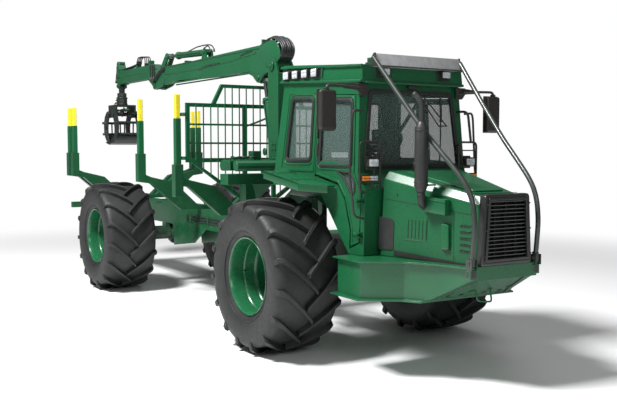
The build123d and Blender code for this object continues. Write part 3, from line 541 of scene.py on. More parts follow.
def glassMaterial(name, tint, alpha):
    material, tree, shader, where = newMaterial(name)
    shade = mottle(tree, where, (1.2, 3.0), [(0.3, (*tint, 1)), (0.7, (*[t * 1.15 for t in tint], 1))])
    gloss = mottle(tree, where, (4.0, 7.0), [(0.4, grey(0.02)), (0.8, grey(0.09))])
    surface(tree, shader, shade, gloss)
    shader.inputs["Alpha"].default_value = alpha
    shader.inputs["IOR"].default_value = 1.5
    return material


def stakeMaterial():
    # green posts with hand-taped yellow tops
    material, tree, shader, where = newMaterial("stakePaint")
    green = mottle(tree, where, (2.2, 3.0), [(0.35, (*greens["deep"], 1)), (0.65, (*greens["leaf"], 1))])
    yellow = mottle(tree, where, (12.0, 5.0), [(0.35, (0.8, 0.66, 0.03, 1)), (0.65, (0.9, 0.76, 0.04, 1))])
    tip = rampNode(tree, heightRamp(tree, where, 2.3, 2.34), [(0.49, grey(0)), (0.51, grey(1))])
    shade = mixNode(tree, tip, green, yellow)
    gloss = mottle(tree, where, (60.0, 5.0), [(0.3, grey(0.3)), (0.7, grey(0.46))])
    surface(tree, shader, shade, gloss)
    bumpNode(tree, shader, noiseNode(tree, where, 380.0, 2.0), 0.12, 0.0006)
    return material


def clothMaterial():
    material, tree, shader, where = newMaterial("seatCloth")
    weave = tree.nodes.new("ShaderNodeTexWave")
    weave.inputs["Scale"].default_value = 140.0
    weave.inputs["Distortion"].default_value = 2.0
    tree.links.new(where, weave.inputs["Vector"])
    shade = mixNode(tree, 0.35, rampNode(tree, weave.outputs["Fac"],
        [(0.2, (0.02, 0.021, 0.024, 1)), (0.8, (0.05, 0.052, 0.058, 1))]),
                    mottle(tree, where, (60.0, 6.0), [(0.3, grey(0.02)), (0.7, grey(0.06))]))
    tree.links.new(shade, shader.inputs["Base Color"])
    shader.inputs["Roughness"].default_value = 0.85
    bumpNode(tree, shader, weave.outputs["Fac"], 0.4, 0.0012)
    return material


tyreRubber = rubberMaterial()
cabGlass = glassMaterial("cabGlass", (0.1, 0.15, 0.135), 0.36)
stakePaint = stakeMaterial()
seatCloth = clothMaterial()
print("materials made")


# studio: camera, floor and lights
bpy.context.scene.view_settings.view_transform = "Standard"
studio = {
    "cameraAt": (9.728, -5.093, 1.971),
    "heading": 32.1, "pitch": 3.99, "lens": 49.99, "floorZ": 0.0, "sky": 0.13,
}
lookAlong = Vector((
    -math.cos(math.radians(studio["heading"])) * math.cos(math.radians(studio["pitch"])),
    math.sin(math.radians(studio["heading"])) * math.cos(math.radians(studio["pitch"])),
    -math.sin(math.radians(studio["pitch"])),
))
cameraData = bpy.data.cameras.new("camera")
cameraData.lens = studio["lens"]
cameraData.sensor_width = 36
camera = linked("camera", cameraData)
camera.location = studio["cameraAt"]
camera.rotation_mode = "QUATERNION"
camera.rotation_quaternion = lookAlong.to_track_quat("-Z", "Y")
bpy.context.scene.camera = camera

deselectAll()
bpy.ops.mesh.primitive_plane_add(size=160, location=(0, 0, studio["floorZ"]))
studioFloor = bpy.context.object
studioFloor.name = "studioFloor"
floorPaint = bpy.data.materials.new("studioWhite")
floorPaint.use_nodes = True
tree = floorPaint.node_tree
shader = tree.nodes["Principled BSDF"]
shader.inputs["Base Color"].default_value = (0.92, 0.92, 0.93, 1)
shader.inputs["Roughness"].default_value = 0.55
shader.inputs["Specular IOR Level"].default_value = 0.25
# the floor turns plain white away from the machine
plainWhite = tree.nodes.new("ShaderNodeEmission")
plainWhite.inputs["Strength"].default_value = 1.0
where = tree.nodes.new("ShaderNodeTexCoord").outputs["Object"]
reach = tree.nodes.new("ShaderNodeVectorMath")
reach.operation = "LENGTH"
tree.links.new(where, reach.inputs[0])
fade = tree.nodes.new("ShaderNodeMapRange")
fade.interpolation_type = "SMOOTHSTEP"
fade.inputs["From Min"].default_value = 6.0
fade.inputs["From Max"].default_value = 12.0
fade.inputs["To Min"].default_value = 0.0
fade.inputs["To Max"].default_value = 1.0
tree.links.new(reach.outputs["Value"], fade.inputs["Value"])
fadeSeen = mathNode(tree, "MULTIPLY", fade.outputs["Result"], directRays(tree))
mixShaders(tree, fadeSeen, shader.outputs[0], plainWhite.outputs[0], tree.nodes["Material Output"])
paintWith(studioFloor, floorPaint)

world = bpy.data.worlds.new("studioSky")
bpy.context.scene.world = world
world.use_nodes = True
tree = world.node_tree
tree.nodes.clear()
output = tree.nodes.new("ShaderNodeOutputWorld")
skies = []
for strength in (studio["sky"], 1.0):  # as light, then as seen
    sky = tree.nodes.new("ShaderNodeBackground")
    sky.inputs["Color"].default_value = (1.0, 1.0, 1.0, 1)
    sky.inputs["Strength"].default_value = strength
    skies.append(sky.outputs[0])
mixShaders(tree, directRays(tree), *skies, output)


def areaLight(name, spot, target, size, power):
    data = bpy.data.lights.new(name, "AREA")
    data.shape = "RECTANGLE"
    data.size, data.size_y = size
    data.energy = power
    obj = linked(name, data)
    obj.location = spot
    obj.rotation_mode = "QUATERNION"
    obj.rotation_quaternion = (Vector(target) - Vector(spot)).to_track_quat("-Z", "Y")


areaLight("keyLight", (1.6, -7.4, 12.4), (0.6, 0, 1.0), (3.2, 2.8), 3700)
areaLight("frontLight", (13.0, -4.0, 6.5), (1.0, 0, 1.3), (5.0, 4.0), 270)
areaLight("topLight", (1.0, 2.0, 11.0), (0, 0, 1), (9.0, 6.0), 160)
print("studio set")

# finish of the frame's own nodes
finishes = (
    (framePaint, "front_frame rear_frame tail_member bunks"),
    (axlePaint, "front_axle rear_axle"),
    (bodyPaint, "hood front_platform cab_shell cab_roof fenders door_left door_right headboard"),
    (cabGlass, "cab_glass door_glass_left door_glass_right"),
    (grapplePaint, "hanger grapple_frame jaw_a jaw_b"),
    (tyreRubber, "tyre_front_left tyre_front_right tyre_rear_left tyre_rear_right"),
    (rimPaint, "rim_front_left rim_front_right rim_rear_left rim_rear_right"),
    (darkPlastic, "controls mirrors"),
    (engineIron, "engine_block"), (blackPaint, "grille"), (exhaustPaint, "exhaust_stack"), (guardPaint, "front_guard"),
    (seatCloth, "seat"), (lensWhite, "lamps"), (redLens, "rear_lamps"), (stakePaint, "stakes"),
)
nodeFinish = {node: material for material, names in finishes for node in names.split()}
for node, obj in frame["nodes"].items():
    plain = chrome if node.endswith("_rod") else cranePaint
    paintWith(obj, nodeFinish.get(node, plain))
print("nodes painted")

# the frame's own forms with rolled edges
softNodes = {
    "front_frame": 0.004, "rear_frame": 0.004, "tail_member": 0.005, "front_axle": 0.008, "rear_axle": 0.008,
    "front_platform": 0.004, "hood": 0.014, "cab_shell": 0.006, "cab_roof": 0.01, "bunks": 0.005,
    "headboard": 0.003, "crane_base": 0.006, "crane_column": 0.006, "boom": 0.006, "stick": 0.006,
    "extension": 0.005, "hanger": 0.004, "grapple_frame": 0.004, "door_left": 0.005, "door_right": 0.005,
    "seat": 0.025,
}
for node, width in softNodes.items():
    softened(node, node + "Form", width, nodeFinish.get(node, cranePaint), 3 if node in ("hood", "seat") else 2)
print("edges rolled")


# tyres
tyreSizes = {
    "tread": 0.692, "bead": 0.285, "bore": 0.366, "lugWidth": 0.037, "lugPairs": 15, "steps": 96, "inner": -0.15,
    "reach": 0.35,
}


def spinProfile(name, profile, steps):
    # profile of (radius, across), spun about Y through the wheel's middle
    curve = bpy.data.curves.new(name, "CURVE")
    curve.dimensions = "3D"
    addSpline(curve, "POLY", profile)
    obj = curveMesh(name, curve)
    meshEdit(obj)
    bpy.ops.mesh.spin(steps=steps, angle=math.tau, center=(0, 0, 0), axis=(0, 1, 0))
    endEdit()
    return fixNormals(obj, 0.0004)


def tyreShape():
    s = tyreSizes
    outer = [
        (s["bore"], 0.25), (s["bore"], s["bead"] - 0.004), (0.384, s["bead"] + 0.006), (0.402, s["bead"] + 0.016),
        (0.416, 0.312), (0.45, 0.327), (0.5, 0.338), (0.56, 0.343), (0.6, 0.343), (0.632, 0.338), (0.66, 0.327),
        (0.679, 0.305), (0.686, 0.26), (0.69, 0.16), (s["tread"], 0.0),
    ]
    profile = outer + [(r, -y) for r, y in reversed(outer[:-1])]
    profile += [(0.42, -0.235), (0.6, -0.26), (0.64, -0.15), (0.645, 0.15), (0.6, 0.26), (0.42, 0.235), profile[0]]
    body = spinProfile("tyreBody", profile, s["steps"])
    smooth(body, 35)
    # one lug: a bar that leans across half the tread and runs down the shoulder
    deselectAll()
    bpy.ops.mesh.primitive_cube_add(size=1, location=(0, 0, 0))
    lug = bpy.context.object
    meshEdit(lug)
    bpy.ops.mesh.subdivide(number_cuts=9)
    endEdit()
    for vertex in lug.data.vertices:
        u = vertex.co.x + 0.5  # 0 at the centre line, 1 at the foot of the shoulder
        side = vertex.co.y
        up = vertex.co.z + 0.5
        across = -0.045 + u * 0.392
        drop = max(0.0, (u - 0.84) / 0.16)
        width = s["lugWidth"] * (1.0 + 0.28 * u) * (1.25 - 0.25 * up)
        crown = 0.02 * (across / 0.34) ** 2
        top = 0.748 - crown - 0.026 * drop**1.6
        root = 0.672 - 0.045 * drop
        radius = root + (top - root) * up
        across -= 0.006 * drop * up
        angle = (s["inner"] + s["reach"] * min(u, 0.86) ** 0.92 + side * width) / s["tread"]
        vertex.co = (radius * math.cos(angle), min(across, 0.349), radius * math.sin(angle))
    fixNormals(lug)
    roundEdges(lug, 0.004, 1, 48)
    smooth(lug, 40)
    parts = [body]
    for i in range(s["lugPairs"]):
        turn = math.tau * i / s["lugPairs"]
        parts.append(copyPiece(lug, "lug", Matrix.Rotation(-turn, 4, "Y")))
        other = copyPiece(lug, "lug", Matrix.Scale(-1, 4, (0, 1, 0)))
        parts.append(copyPiece(other, "lug", Matrix.Rotation(-turn - math.pi / s["lugPairs"], 4, "Y")))
        bpy.data.objects.remove(other)
    bpy.data.objects.remove(lug)
    # a moulded ring on each wall
    for side in (-1, 1):
        deselectAll()
        bpy.ops.mesh.primitive_torus_add(
            major_radius=0.428, minor_radius=0.006, major_segments=96, minor_segments=8,
            location=(0, side * 0.3205, 0), rotation=(math.pi / 2, 0, 0),
        )
        parts.append(smooth(bakePlace(bpy.context.object), 60))
    return joined("tyre", parts)


masterTyre = tyreShape()
wheelSpots = {
    "front_left": (axleX, 0.975, 1), "front_right": (axleX, -0.975, -1),
    "rear_left": (rearAxleX, 0.975, 1), "rear_right": (rearAxleX, -0.975, -1),
}
for wheel, (x, y, side) in wheelSpots.items():
    node = "tyre_" + wheel
    place = Matrix.Translation((x, y, axleZ)) @ Matrix.Rotation(0.04 if side > 0 else 0.11, 4, "Y")
    tyre = copyPiece(masterTyre, "tyre" + wheel.title().replace("_", ""), place)
    rideSlot(tyre, "wheel_" + wheel, tyreRubber)
    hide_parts(node)
bpy.data.objects.remove(masterTyre)
print("tyres done")


# rims
rimSizes = {"barrel": 0.3637, "bead": 0.285, "studs": 12, "studCircle": 0.178}


def rimShape():
    s = rimSizes
    profile = [
        (0.062, -0.134), (0.338, -0.134), (0.34, -0.29), (0.352, -0.297), (s["barrel"], -0.292),
        (s["barrel"], s["bead"]), (0.371, 0.286), (0.378, 0.291), (0.378, 0.296), (0.372, 0.302), (0.362, 0.297),
        (0.355, 0.28), (0.35, 0.24), (0.349, 0.15), (0.341, 0.14), (0.338, 0.128), (0.337, 0.04), (0.332, 0.03),
        (0.322, 0.02), (0.318, 0.004), (0.316, -0.06), (0.306, -0.088), (0.288, -0.1), (0.255, -0.106),
        (0.215, -0.104), (0.207, -0.092), (0.16, -0.088), (0.15, -0.08), (0.132, -0.02), (0.124, 0.004),
        (0.105, 0.018), (0.06, 0.022), (0.0, 0.022),
    ]
    dish = spinProfile("rimDish", profile, 72)
    smooth(dish, 32)
    parts = [dish]
    stud = crossDrum("stud", s["studCircle"], 0, (-0.094, -0.062), 0.0135, 6, 0.002)
    tip = crossDrum("studTip", s["studCircle"], 0, (-0.064, -0.046), 0.007, 10, 0.0015)
    stud = joined("stud", [stud, tip])
    for i in range(s["studs"]):
        parts.append(copyPiece(stud, "stud", Matrix.Rotation(math.tau * i / s["studs"], 4, "Y")))
    bpy.data.objects.remove(stud)
    parts.append(tubePiece("valve", [(0.352, 0.1, 0.0), (0.33, 0.12, 0.0), (0.322, 0.16, 0.004)], 0.006))
    for i in range(8):
        angle = math.tau * (i + 0.5) / 8
        foot = (0.285 * math.cos(angle), -0.101, 0.285 * math.sin(angle))
        head = (0.285 * math.cos(angle), -0.086, 0.285 * math.sin(angle))
        parts.append(drumPiece("rimBolt", foot, head, 0.012, 6, 0.002))
    return joined("rim", parts)


masterRim = rimShape()
for wheel, (x, y, side) in wheelSpots.items():
    place = Matrix.Translation((x, y, axleZ))
    if side < 0:
        place = place @ Matrix.Rotation(math.pi, 4, "Z")
    rim = copyPiece(masterRim, "rim" + wheel.title().replace("_", ""), place)
    rideSlot(rim, "wheel_" + wheel, rimPaint)
    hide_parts("rim_" + wheel)
bpy.data.objects.remove(masterRim)
print("rims done")

# guard bars and visor
guardSizes = {
    "tube": 0.0215,
    "route": (
        (0.985, 0.51, 2.78), (1.57, 0.434, 2.134), (1.86, 0.396, 1.872), (2.05, 0.372, 1.69),
        (2.122, 0.362, 1.555), (2.146, 0.358, 1.41), (2.147, 0.358, 1.29), (2.122, 0.362, 1.075),
    ),
}
guardParts = []
for side in (1, -1):
    route = [(axleX + x, side * y, z) for x, y, z in guardSizes["route"]]
    guardParts.append(tubePiece("guardBar", route, guardSizes["tube"], 4, order=3))
    foot = Vector(route[-1])
    guardParts.append(boxPiece("guardEye", (foot.x - 0.03, foot.x + 0.026), span(foot.y, 0.016), (1.02, 1.1), 0.008))
    guardParts.append(crossDrum("guardPin", foot.x, 1.05, span(foot.y, 0.042), 0.014, 16, 0.003))
    for lug in (-0.032, 0.026):
        guardParts.append(boxPiece("guardLug", (foot.x - 0.036, foot.x + 0.034),
            (foot.y + lug, foot.y + lug + 0.007), (0.992, 1.08), 0.002))
visorSide = atAxle([(0.85, 2.702), (1.006, 2.702), (1.014, 2.708), (0.992, 2.815), (0.984, 2.815),
    (0.998, 2.722), (0.85, 2.718)])
visorSheet = platePiece("visorSheet", [visorSide], 0.985, sidePlace(), 0.001, 1)
# the visor sheet carries the painted reflection in place of its own black
rideSlot(visorSheet, bodyOf("front_guard"), visorPaintedReflection)
for side in (1, -1):
    cheek = atAxle([(0.85, 2.7), (1.02, 2.7), (0.998, 2.822), (0.975, 2.822), (0.9, 2.745), (0.85, 2.745)])
    guardParts.append(platePiece("visorCheek", [cheek], 0.01, sidePlace(side * 0.497), 0.002))
    for x in (0.88, 0.95):
        guardParts.append(crossDrum("visorBolt", axleX + x, 2.722, (side * 0.498, side * 0.509), 0.008, 6, 0.001))
guardParts.append(rod("visorLip", atAxle([(1.012, -0.49, 2.706), (1.012, 0.49, 2.706)]), 0.007))
guard = dress("guardBars", guardParts, "front_guard", guardPaint)
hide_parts("front_guard")
print("guard done")


# grille
grilleSizes = {"slats": 15, "low": 1.075, "high": 1.548, "face": 2.166, "back": 2.082}


def grilleHalf(z):
    # the surround narrows towards its top
    return 0.286 - (z - 1.015) * 0.0613


def grilleRing(reach, low, high, radius):
    foot, head = grilleHalf(low) + reach, grilleHalf(high) + reach
    corners = [(-foot, low), (foot, low), (head, high), (-head, high)]
    return roundedOutline(corners, radius, 5)


g = grilleSizes
grilleParts = [
    platePiece("grilleOuter", [grilleRing(0.0, 1.017, 1.6, 0.035), grilleRing(-0.04, 1.056, 1.566, 0.02)],
               g["face"] - g["back"] - 0.014, crossPlace(axleX + (g["face"] - 0.014 + g["back"]) / 2), 0.014, 4),
    platePiece("grilleInner", [grilleRing(-0.034, 1.05, 1.572, 0.022), grilleRing(-0.058, 1.074, 1.549, 0.012)],
               0.03, crossPlace(axleX + g["face"] - 0.018), 0.004, 3),
    platePiece("grilleBack", [grilleRing(-0.036, 1.052, 1.57, 0.02)], 0.01,
        crossPlace(axleX + g["back"] + 0.012), 0.002),
]
step = (g["high"] - g["low"]) / g["slats"]
for i in range(g["slats"]):
    z = g["low"] + step * (i + 0.5)
    half = grilleHalf(z) - 0.052
    slat = [(0, -0.01), (0.034, 0.004), (0.036, 0.01), (0.031, 0.012), (-0.002, -0.003)]
    slat = [(axleX + 2.118 + x, z + dz) for x, dz in slat]
    grilleParts.append(platePiece("grilleSlat", [slat], 2 * half, sidePlace(), 0.001, 1))
for side in (-1, 1):
    for y in (0.0, 0.118):
        if side < 0 and y == 0.0:
            continue
        grilleParts.append(boxPiece("grilleRib", (axleX + 2.104, axleX + 2.124),
            span(side * y, 0.005), (1.07, 1.55), 0.001))
    for z in (1.1, 1.31, 1.52):
        y = side * (grilleHalf(z) - 0.02)
        grilleParts.append(drumPiece("grilleScrew", (axleX + 2.16, y, z), (axleX + 2.169, y, z), 0.0065, 12, 0.002))
grillePiece = dress("grilleForm", grilleParts, "grille", blackPaint)
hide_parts("grille")
print("grille done")


# exhaust, beside the hood
stackSizes = {"x": 1.632, "y": -0.486, "radius": 0.057}
sx, sy, sr = axleX + stackSizes["x"], stackSizes["y"], stackSizes["radius"]
stackParts = [
    upDrum("stackBody", sx, sy, (1.65, 2.15), sr, 40, 0.004),
    upDrum("stackTop", sx, sy, (2.146, 2.192), sr - 0.003, 40, 0.002, 0.03),
    upDrum("stackFoot", sx, sy, (1.606, 1.654), 0.036, 40, 0.002, sr - 0.003),
    upDrum("stackSeam", sx, sy, (1.68, 1.694), sr + 0.003, 40, 0.003),
    upDrum("stackSeamTop", sx, sy, (2.112, 2.126), sr + 0.003, 40, 0.003),
    tubePiece("stackTip", [(sx, sy, 2.175), (sx, sy, 2.25), (sx, sy, 2.32), (sx - 0.012, sy - 0.006, 2.375),
        (sx - 0.05, sy - 0.028, 2.415)], 0.025, 5, order=3),
    tubePiece("stackElbow", [(sx, sy, 1.615), (sx, sy, 1.56), (sx - 0.004, sy + 0.012, 1.5),
        (sx - 0.03, sy + 0.065, 1.475), (sx - 0.055, sy + 0.125, 1.47)], 0.031, 5, order=3),
    upDrum("stackClamp", sx, sy, (1.572, 1.59), 0.036, 24, 0.003),
    drumPiece("stackTipMouth", (sx - 0.048, sy - 0.027, 2.413), (sx - 0.066, sy - 0.037, 2.427),
        0.027, 24, 0.002, 0.022),
    boxPiece("stackStay", span(sx, 0.02), (sy + 0.04, sy + 0.145), (1.655, 1.668), 0.002),
]
stack = dress("exhaustForm", stackParts, "exhaust_stack", exhaustPaint)
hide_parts("exhaust_stack")
print("exhaust done")


# what is on the hood
hoodRight = planeFrame(*atAxle([(1.11, -0.52, 1.015), (2.09, -0.286, 1.015), (1.11, -0.482, 1.7)]))
hoodGreen, hoodBlack = [], []


def onHood(parts, name, outline, thick, out=0.0, edge=0.003):
    parts.append(laid(name, [outline], thick, hoodRight, thick / 2 + out, edge))


onHood(hoodBlack, "hoodSeam", [(0.02, 0.514), (0.97, 0.416), (0.97, 0.411), (0.02, 0.509)], 0.003, -0.001, 0.0005)
onHood(hoodBlack, "hoodSeamUp", [(0.771, 0.43), (0.776, 0.43), (0.79, 0.02), (0.785, 0.02)], 0.003, -0.001, 0.0005)
onHood(hoodGreen, "hoodBox", [(0.512, 0.545), (0.729, 0.522), (0.733, 0.398), (0.516, 0.418)], 0.072, 0.0, 0.01)
onHood(hoodGreen, "hoodBoxLid", [(0.506, 0.553), (0.735, 0.529), (0.735, 0.5), (0.506, 0.524)], 0.08, 0.0, 0.008)
onHood(hoodGreen, "hoodLatch", roundedOutline([(0.664, 0.33), (0.742, 0.322), (0.752, 0.114), (0.676, 0.108)],
    0.018), 0.03, 0.0, 0.008)
onHood(hoodBlack, "hoodLatchShade", [(0.668, 0.112), (0.756, 0.118), (0.754, 0.104), (0.68, 0.097)], 0.004, 0.0, 0.001)
onHood(hoodGreen, "slotPanel", rectangle((0.262, 0.508), (0.16, 0.366), 0.012), 0.004, 0.0, 0.0015)
for i in range(6):
    u = 0.296 + i * 0.0385
    onHood(hoodGreen, "slotRib", rectangle((u, u + 0.012), (0.182, 0.342), 0.005), 0.008, 0.0, 0.002)
    # black strips between the ribs are painted shade in the slots
    onHood(hoodBlack, "slotGapShade", rectangle((u + 0.013, u + 0.018), (0.182, 0.342), 0.002), 0.0052, 0.0, 0.0005)
# black louvre openings are painted shade
for row in range(5):
    v = 0.1 + row * 0.0515
    for column in range(2):
        for i in range(6):
            u = 0.846 + i * 0.0172 + row * -0.0015
            w = v + column * 0.012
            onHood(hoodBlack, "louvre", rectangle((u, u + 0.0125), (w, w + 0.0085), 0.002, 2), 0.0035, 0.0, 0.0005)
    onHood(hoodGreen, "louvreLip", rectangle((0.84, 0.952), (v + 0.0225, v + 0.0265), 0.001, 2), 0.007, 0.0, 0.001)
onHood(hoodBlack, "keySlot", rectangle((0.165, 0.176), (0.535, 0.562), 0.003), 0.004, 0.0, 0.0008)
# black sheets as painted shade: the gap under the hood's lower edge and the notch at its rear
onHood(hoodBlack, "hoodLowGapShade", [(0.16, 0.02), (1.0, -0.02), (1.0, 0.006), (0.16, 0.066)], 0.005, 0.001, 0.001)
onHood(hoodBlack, "hoodRearGapShade", roundedOutline([(-0.02, 0.355), (0.125, 0.335), (0.15, 0.3), (0.15, 0.06),
    (-0.02, 0.055)], 0.02), 0.005, 0.001, 0.001)
for u, v in ((0.05, 0.47), (0.05, 0.4), (0.22, 0.13), (0.55, 0.085), (0.62, 0.08), (0.8, 0.052), (0.2, 0.455),
        (0.92, 0.375), (0.92, 0.045)):
    stud = upDrum("hoodScrew", 0, 0, (0, 0.004), 0.0065, 12, 0.0015)
    hoodGreen.append(placed(stud, hoodRight @ Matrix.Translation((u, v, 0))))
# raised middle of the top, with its hinge line and a grab handle
hoodTop = planeFrame(*atAxle([(1.15, 0, 1.766), (2.08, 0, 1.581), (1.15, 0.4, 1.766)]))
panel = roundedOutline([(0.05, -0.3), (0.8, -0.165), (0.8, 0.165), (0.05, 0.3)], 0.03)
hoodGreen.append(laid("topPanel", [panel], 0.016, hoodTop, 0.004, 0.006, 3))
hoodBlack.append(laid("topSeam", [rectangle((0.865, 0.87), (-0.255, 0.255))], 0.004, hoodTop, 0.002, 0.0005))
handle = bentTube("topHandle", [(0.02, -0.2, 0.0), (0.02, -0.2, 0.085), (0.02, -0.06, 0.085),
    (0.02, -0.06, 0.0)], 0.007, 0.03)
hoodBlack.append(placed(handle, hoodTop))
oneSided = ("topPanel", "topSeam", "topHandle", "keySlot")
for pieces, name, slot, paint in (
    (hoodGreen, "hoodFittings", "body_paint", bodyPaint), (hoodBlack, "hoodDarks", "grille_black", blackPaint),
):
    twins = [mirrored(piece, "twin") for piece in pieces if piece.name.split(".")[0] not in oneSided]
    dress(name, pieces + twins, "hood", paint)
print("hood done")


# step platform and its nose
platformGreen, platformBlack = [], []
flangeRoute = [(0.925, -0.862, 0.999), (1.3, -0.88, 0.999), (1.528, -0.585, 0.999), (1.8, -0.44, 0.999),
    (2.098, -0.366, 0.999)]
for side in (1, -1):
    rim = [(axleX + x, -side * y, z) for x, y, z in flangeRoute]
    platformGreen.append(bentTube("platformRim", rim, 0.006, 0.02, 2))
    x, y = axleX + 2.112, side * 0.352
    platformGreen.append(boxPiece("guardPost", (x - 0.03, x + 0.028), span(y, 0.04), (0.915, 0.994), 0.004))
    # black blocks in the post's front and sides are painted shade in its socket holes
    platformBlack.append(boxPiece("postHoleShade", (x + 0.012, x + 0.03), span(y, 0.026), (0.926, 0.984), 0.002))
    platformBlack.append(boxPiece("postSideShade", (x - 0.02, x + 0.016), span(y, 0.042), (0.93, 0.98), 0.002))
noseFrame = planeFrame(*atAxle([(1.7, 0, 0.69), (1.7, 0.3, 0.69), (2.1, 0, 0.9)]), 0.0, -1)
# black sheets in the nose plate's holes are painted shade
for v, spots in ((0.075, (-0.3, -0.152, 0.117, 0.3)), (0.165, (-0.33, -0.108, 0.107, 0.33))):
    for u in spots:
        hole = rectangle(span(u, 0.022), span(v, 0.015), 0.005)
        platformBlack.append(laid("noseHoleShade", [hole], 0.008, noseFrame, -0.002, 0.001))
for side in (1, -1):
    seam = [noseFrame @ Vector(spot) for spot in ((side * 0.262, 0.44, -0.002), (side * 0.4, 0.01, -0.002))]
    platformBlack.append(rod("noseSeam", [tuple(spot) for spot in seam], 0.006, 2))
loop = bentTube("towLoop", atAxle([(1.86, -0.085, 0.8), (1.905, -0.085, 0.685), (1.905, 0.075, 0.665),
    (1.88, 0.075, 0.79)]), 0.008, 0.03)
platformGreen.append(loop)
dress("platformFittings", platformGreen, "front_platform", bodyPaint)
dress("platformDarks", platformBlack, "front_platform", blackPaint)
print("platform done")

# cab dressing
cabSide = {"taper": 0.0746, "lean": 0.065, "offset": 0.8174}


def flankFrame(side, out=0.0):
    # an outline of (x from the front axle, z), laid on the cab's leaning side
    taper, lean = cabSide["taper"], cabSide["lean"]
    n = Vector((taper, side, lean)).normalized()
    origin = Vector((axleX, side * cabSide["offset"], 0)) + n * out
    return axes((1, -side * taper, 0), (0, -side * lean, 1), n, origin)


def onFlank(name, outlines, thick, side, out=0.0, edge=0.002):
    return laid(name, outlines, thick, flankFrame(side, out + thick / 2), 0.0, edge)


cabShapes = {
    "rear": [(-0.205, 1.85), (-0.14, 2.47), (0.215, 2.455), (0.215, 1.85)],
    "upper": [(0.345, 1.8), (0.345, 2.44), (0.805, 2.415), (0.838, 1.8)],
    "lower": [(0.61, 1.765), (0.842, 1.752), (0.9, 1.655), (0.905, 1.56), (0.845, 1.56), (0.715, 1.705)],
    "door": [(0.3, 1.722), (0.3, 2.478), (0.84, 2.451), (0.876, 1.745), (0.996, 1.57), (1.0, 1.13), (0.885, 1.085),
        (0.88, 1.238), (0.775, 1.516), (0.65, 1.652)],
    "panel": [(-0.3, 1.745), (-0.215, 2.54), (0.268, 2.52), (0.268, 1.745)],
}


def ringOn(name, outline, side, outer, inner, thick, out, radius, edge=0.003):
    rings = [roundedOutline(offsetLoop(outline, outer), radius + outer),
        roundedOutline(offsetLoop(outline, inner), max(radius + inner, 0.008))]
    return onFlank(name, rings, thick, side, out, edge)


for side, label in ((1, "left"), (-1, "right")):
    seals = [
        ringOn("seal", cabShapes["rear"], side, 0.01, -0.02, 0.012, -0.001, 0.055, 0.004),
        ringOn("sealLip", cabShapes["rear"], side, -0.004, -0.012, 0.016, -0.001, 0.045, 0.003),
    ]
    frames = [
        ringOn("frame", cabShapes["panel"], side, 0.0, -0.028, 0.006, 0.0, 0.02),
        ringOn("frameInner", cabShapes["rear"], side, 0.04, 0.026, 0.007, 0.0, 0.05, 0.003),
    ]
    doorSeals = [
        ringOn("doorSeal", cabShapes["upper"], side, 0.01, -0.022, 0.012, -0.001, 0.055, 0.004),
        ringOn("doorSealLip", cabShapes["upper"], side, -0.004, -0.012, 0.016, -0.001, 0.045, 0.003),
        ringOn("lowSeal", cabShapes["lower"], side, 0.004, -0.014, 0.01, -0.001, 0.03, 0.003),
    ]
    band = [(0.338, 1.852), (0.338, 1.79), (0.62, 1.758), (0.846, 1.75), (0.842, 1.812), (0.56, 1.846)]
    doorFrames = [
        onFlank("doorRail", [roundedOutline(band, 0.01)], 0.016, side, -0.012, 0.003),
        ringOn("doorEdge", cabShapes["door"], side, -0.002, -0.022, 0.006, 0.0, 0.02),
        ringOn("doorFrame", cabShapes["upper"], side, 0.032, 0.02, 0.007, 0.0, 0.05, 0.003),
    ]
    for x, z in ((0.93, 1.2), (0.93, 1.5)):
        hinge = upDrum("hingeCap", 0, 0, (0, 0.01), 0.016, 20, 0.003)
        doorFrames.append(placed(hinge, flankFrame(side) @ Matrix.Translation((x, z, 0))))
    darks = [
        onFlank("doorLatch", [rectangle((0.315, 0.338), (1.9, 2.02), 0.008)], 0.022, side, 0.0, 0.005),
        onFlank("doorPull", [rectangle((0.32, 0.333), (2.06, 2.16), 0.006)], 0.03, side, 0.0, 0.005),
    ]
    dress("cabSeals_" + label, seals, "cab_shell", sealRubber)
    dress("cabFrames_" + label, frames, "cab_shell", bodyPaint)
    dress("doorSeals_" + label, doorSeals, "door_" + label, sealRubber)
    dress("doorFrames_" + label, doorFrames, "door_" + label, bodyPaint)
    dress("doorFittings_" + label, darks, "door_" + label, darkPlastic)

# windscreen seal, wipers and a brace behind the glass
screen = planeFrame(*atAxle([(0.935, 0, 1.75), (0.935, 0.5, 1.75), (0.89, 0, 2.56)]))
screenOutline = [(-0.56, 0.05), (0.56, 0.05), (0.48, 0.741), (-0.48, 0.741)]
rubber = []


def onScreen(name, outlines, thick, out=0.0, edge=0.002):
    return laid(name, outlines, thick, screen, thick / 2 + out, edge)


def sealRings(outline):
    return [roundedOutline(offsetLoop(outline, 0.014), 0.05), roundedOutline(offsetLoop(outline, -0.022), 0.04)]


rubber.append(onScreen("screenSeal", sealRings(screenOutline), 0.014, -0.003, 0.004))
wiperArms = [
    ((-0.025, 0.795), (0.299, 0.428)), ((0.02, 0.795), (0.395, 0.43)), ((0.299, 0.428), (0.4, 0.432)),
]
for start, end in wiperArms:
    arm = bentTube("wiperArm", [(*start, 0.026), ((start[0] + end[0]) / 2, (start[1] + end[1]) / 2, 0.034),
        (*end, 0.026)], 0.006, 0.1)
    rubber.append(placed(arm, screen))
rubber.append(onScreen("wiperHinge", [rectangle((-0.055, 0.05), (0.77, 0.812), 0.012)], 0.03, 0.004, 0.006))
for (u0, v0), (u1, v1), wide in (((0.332, 0.695), (0.33, 0.47), 0.011), ((0.33, 0.47), (0.3, 0.075), 0.006)):
    blade = bentTube("wiperBlade", [(u0, v0, 0.018), ((u0 + u1) / 2 + 0.004, (v0 + v1) / 2, 0.02),
        (u1, v1, 0.018)], wide, 0.05)
    rubber.append(placed(blade, screen))
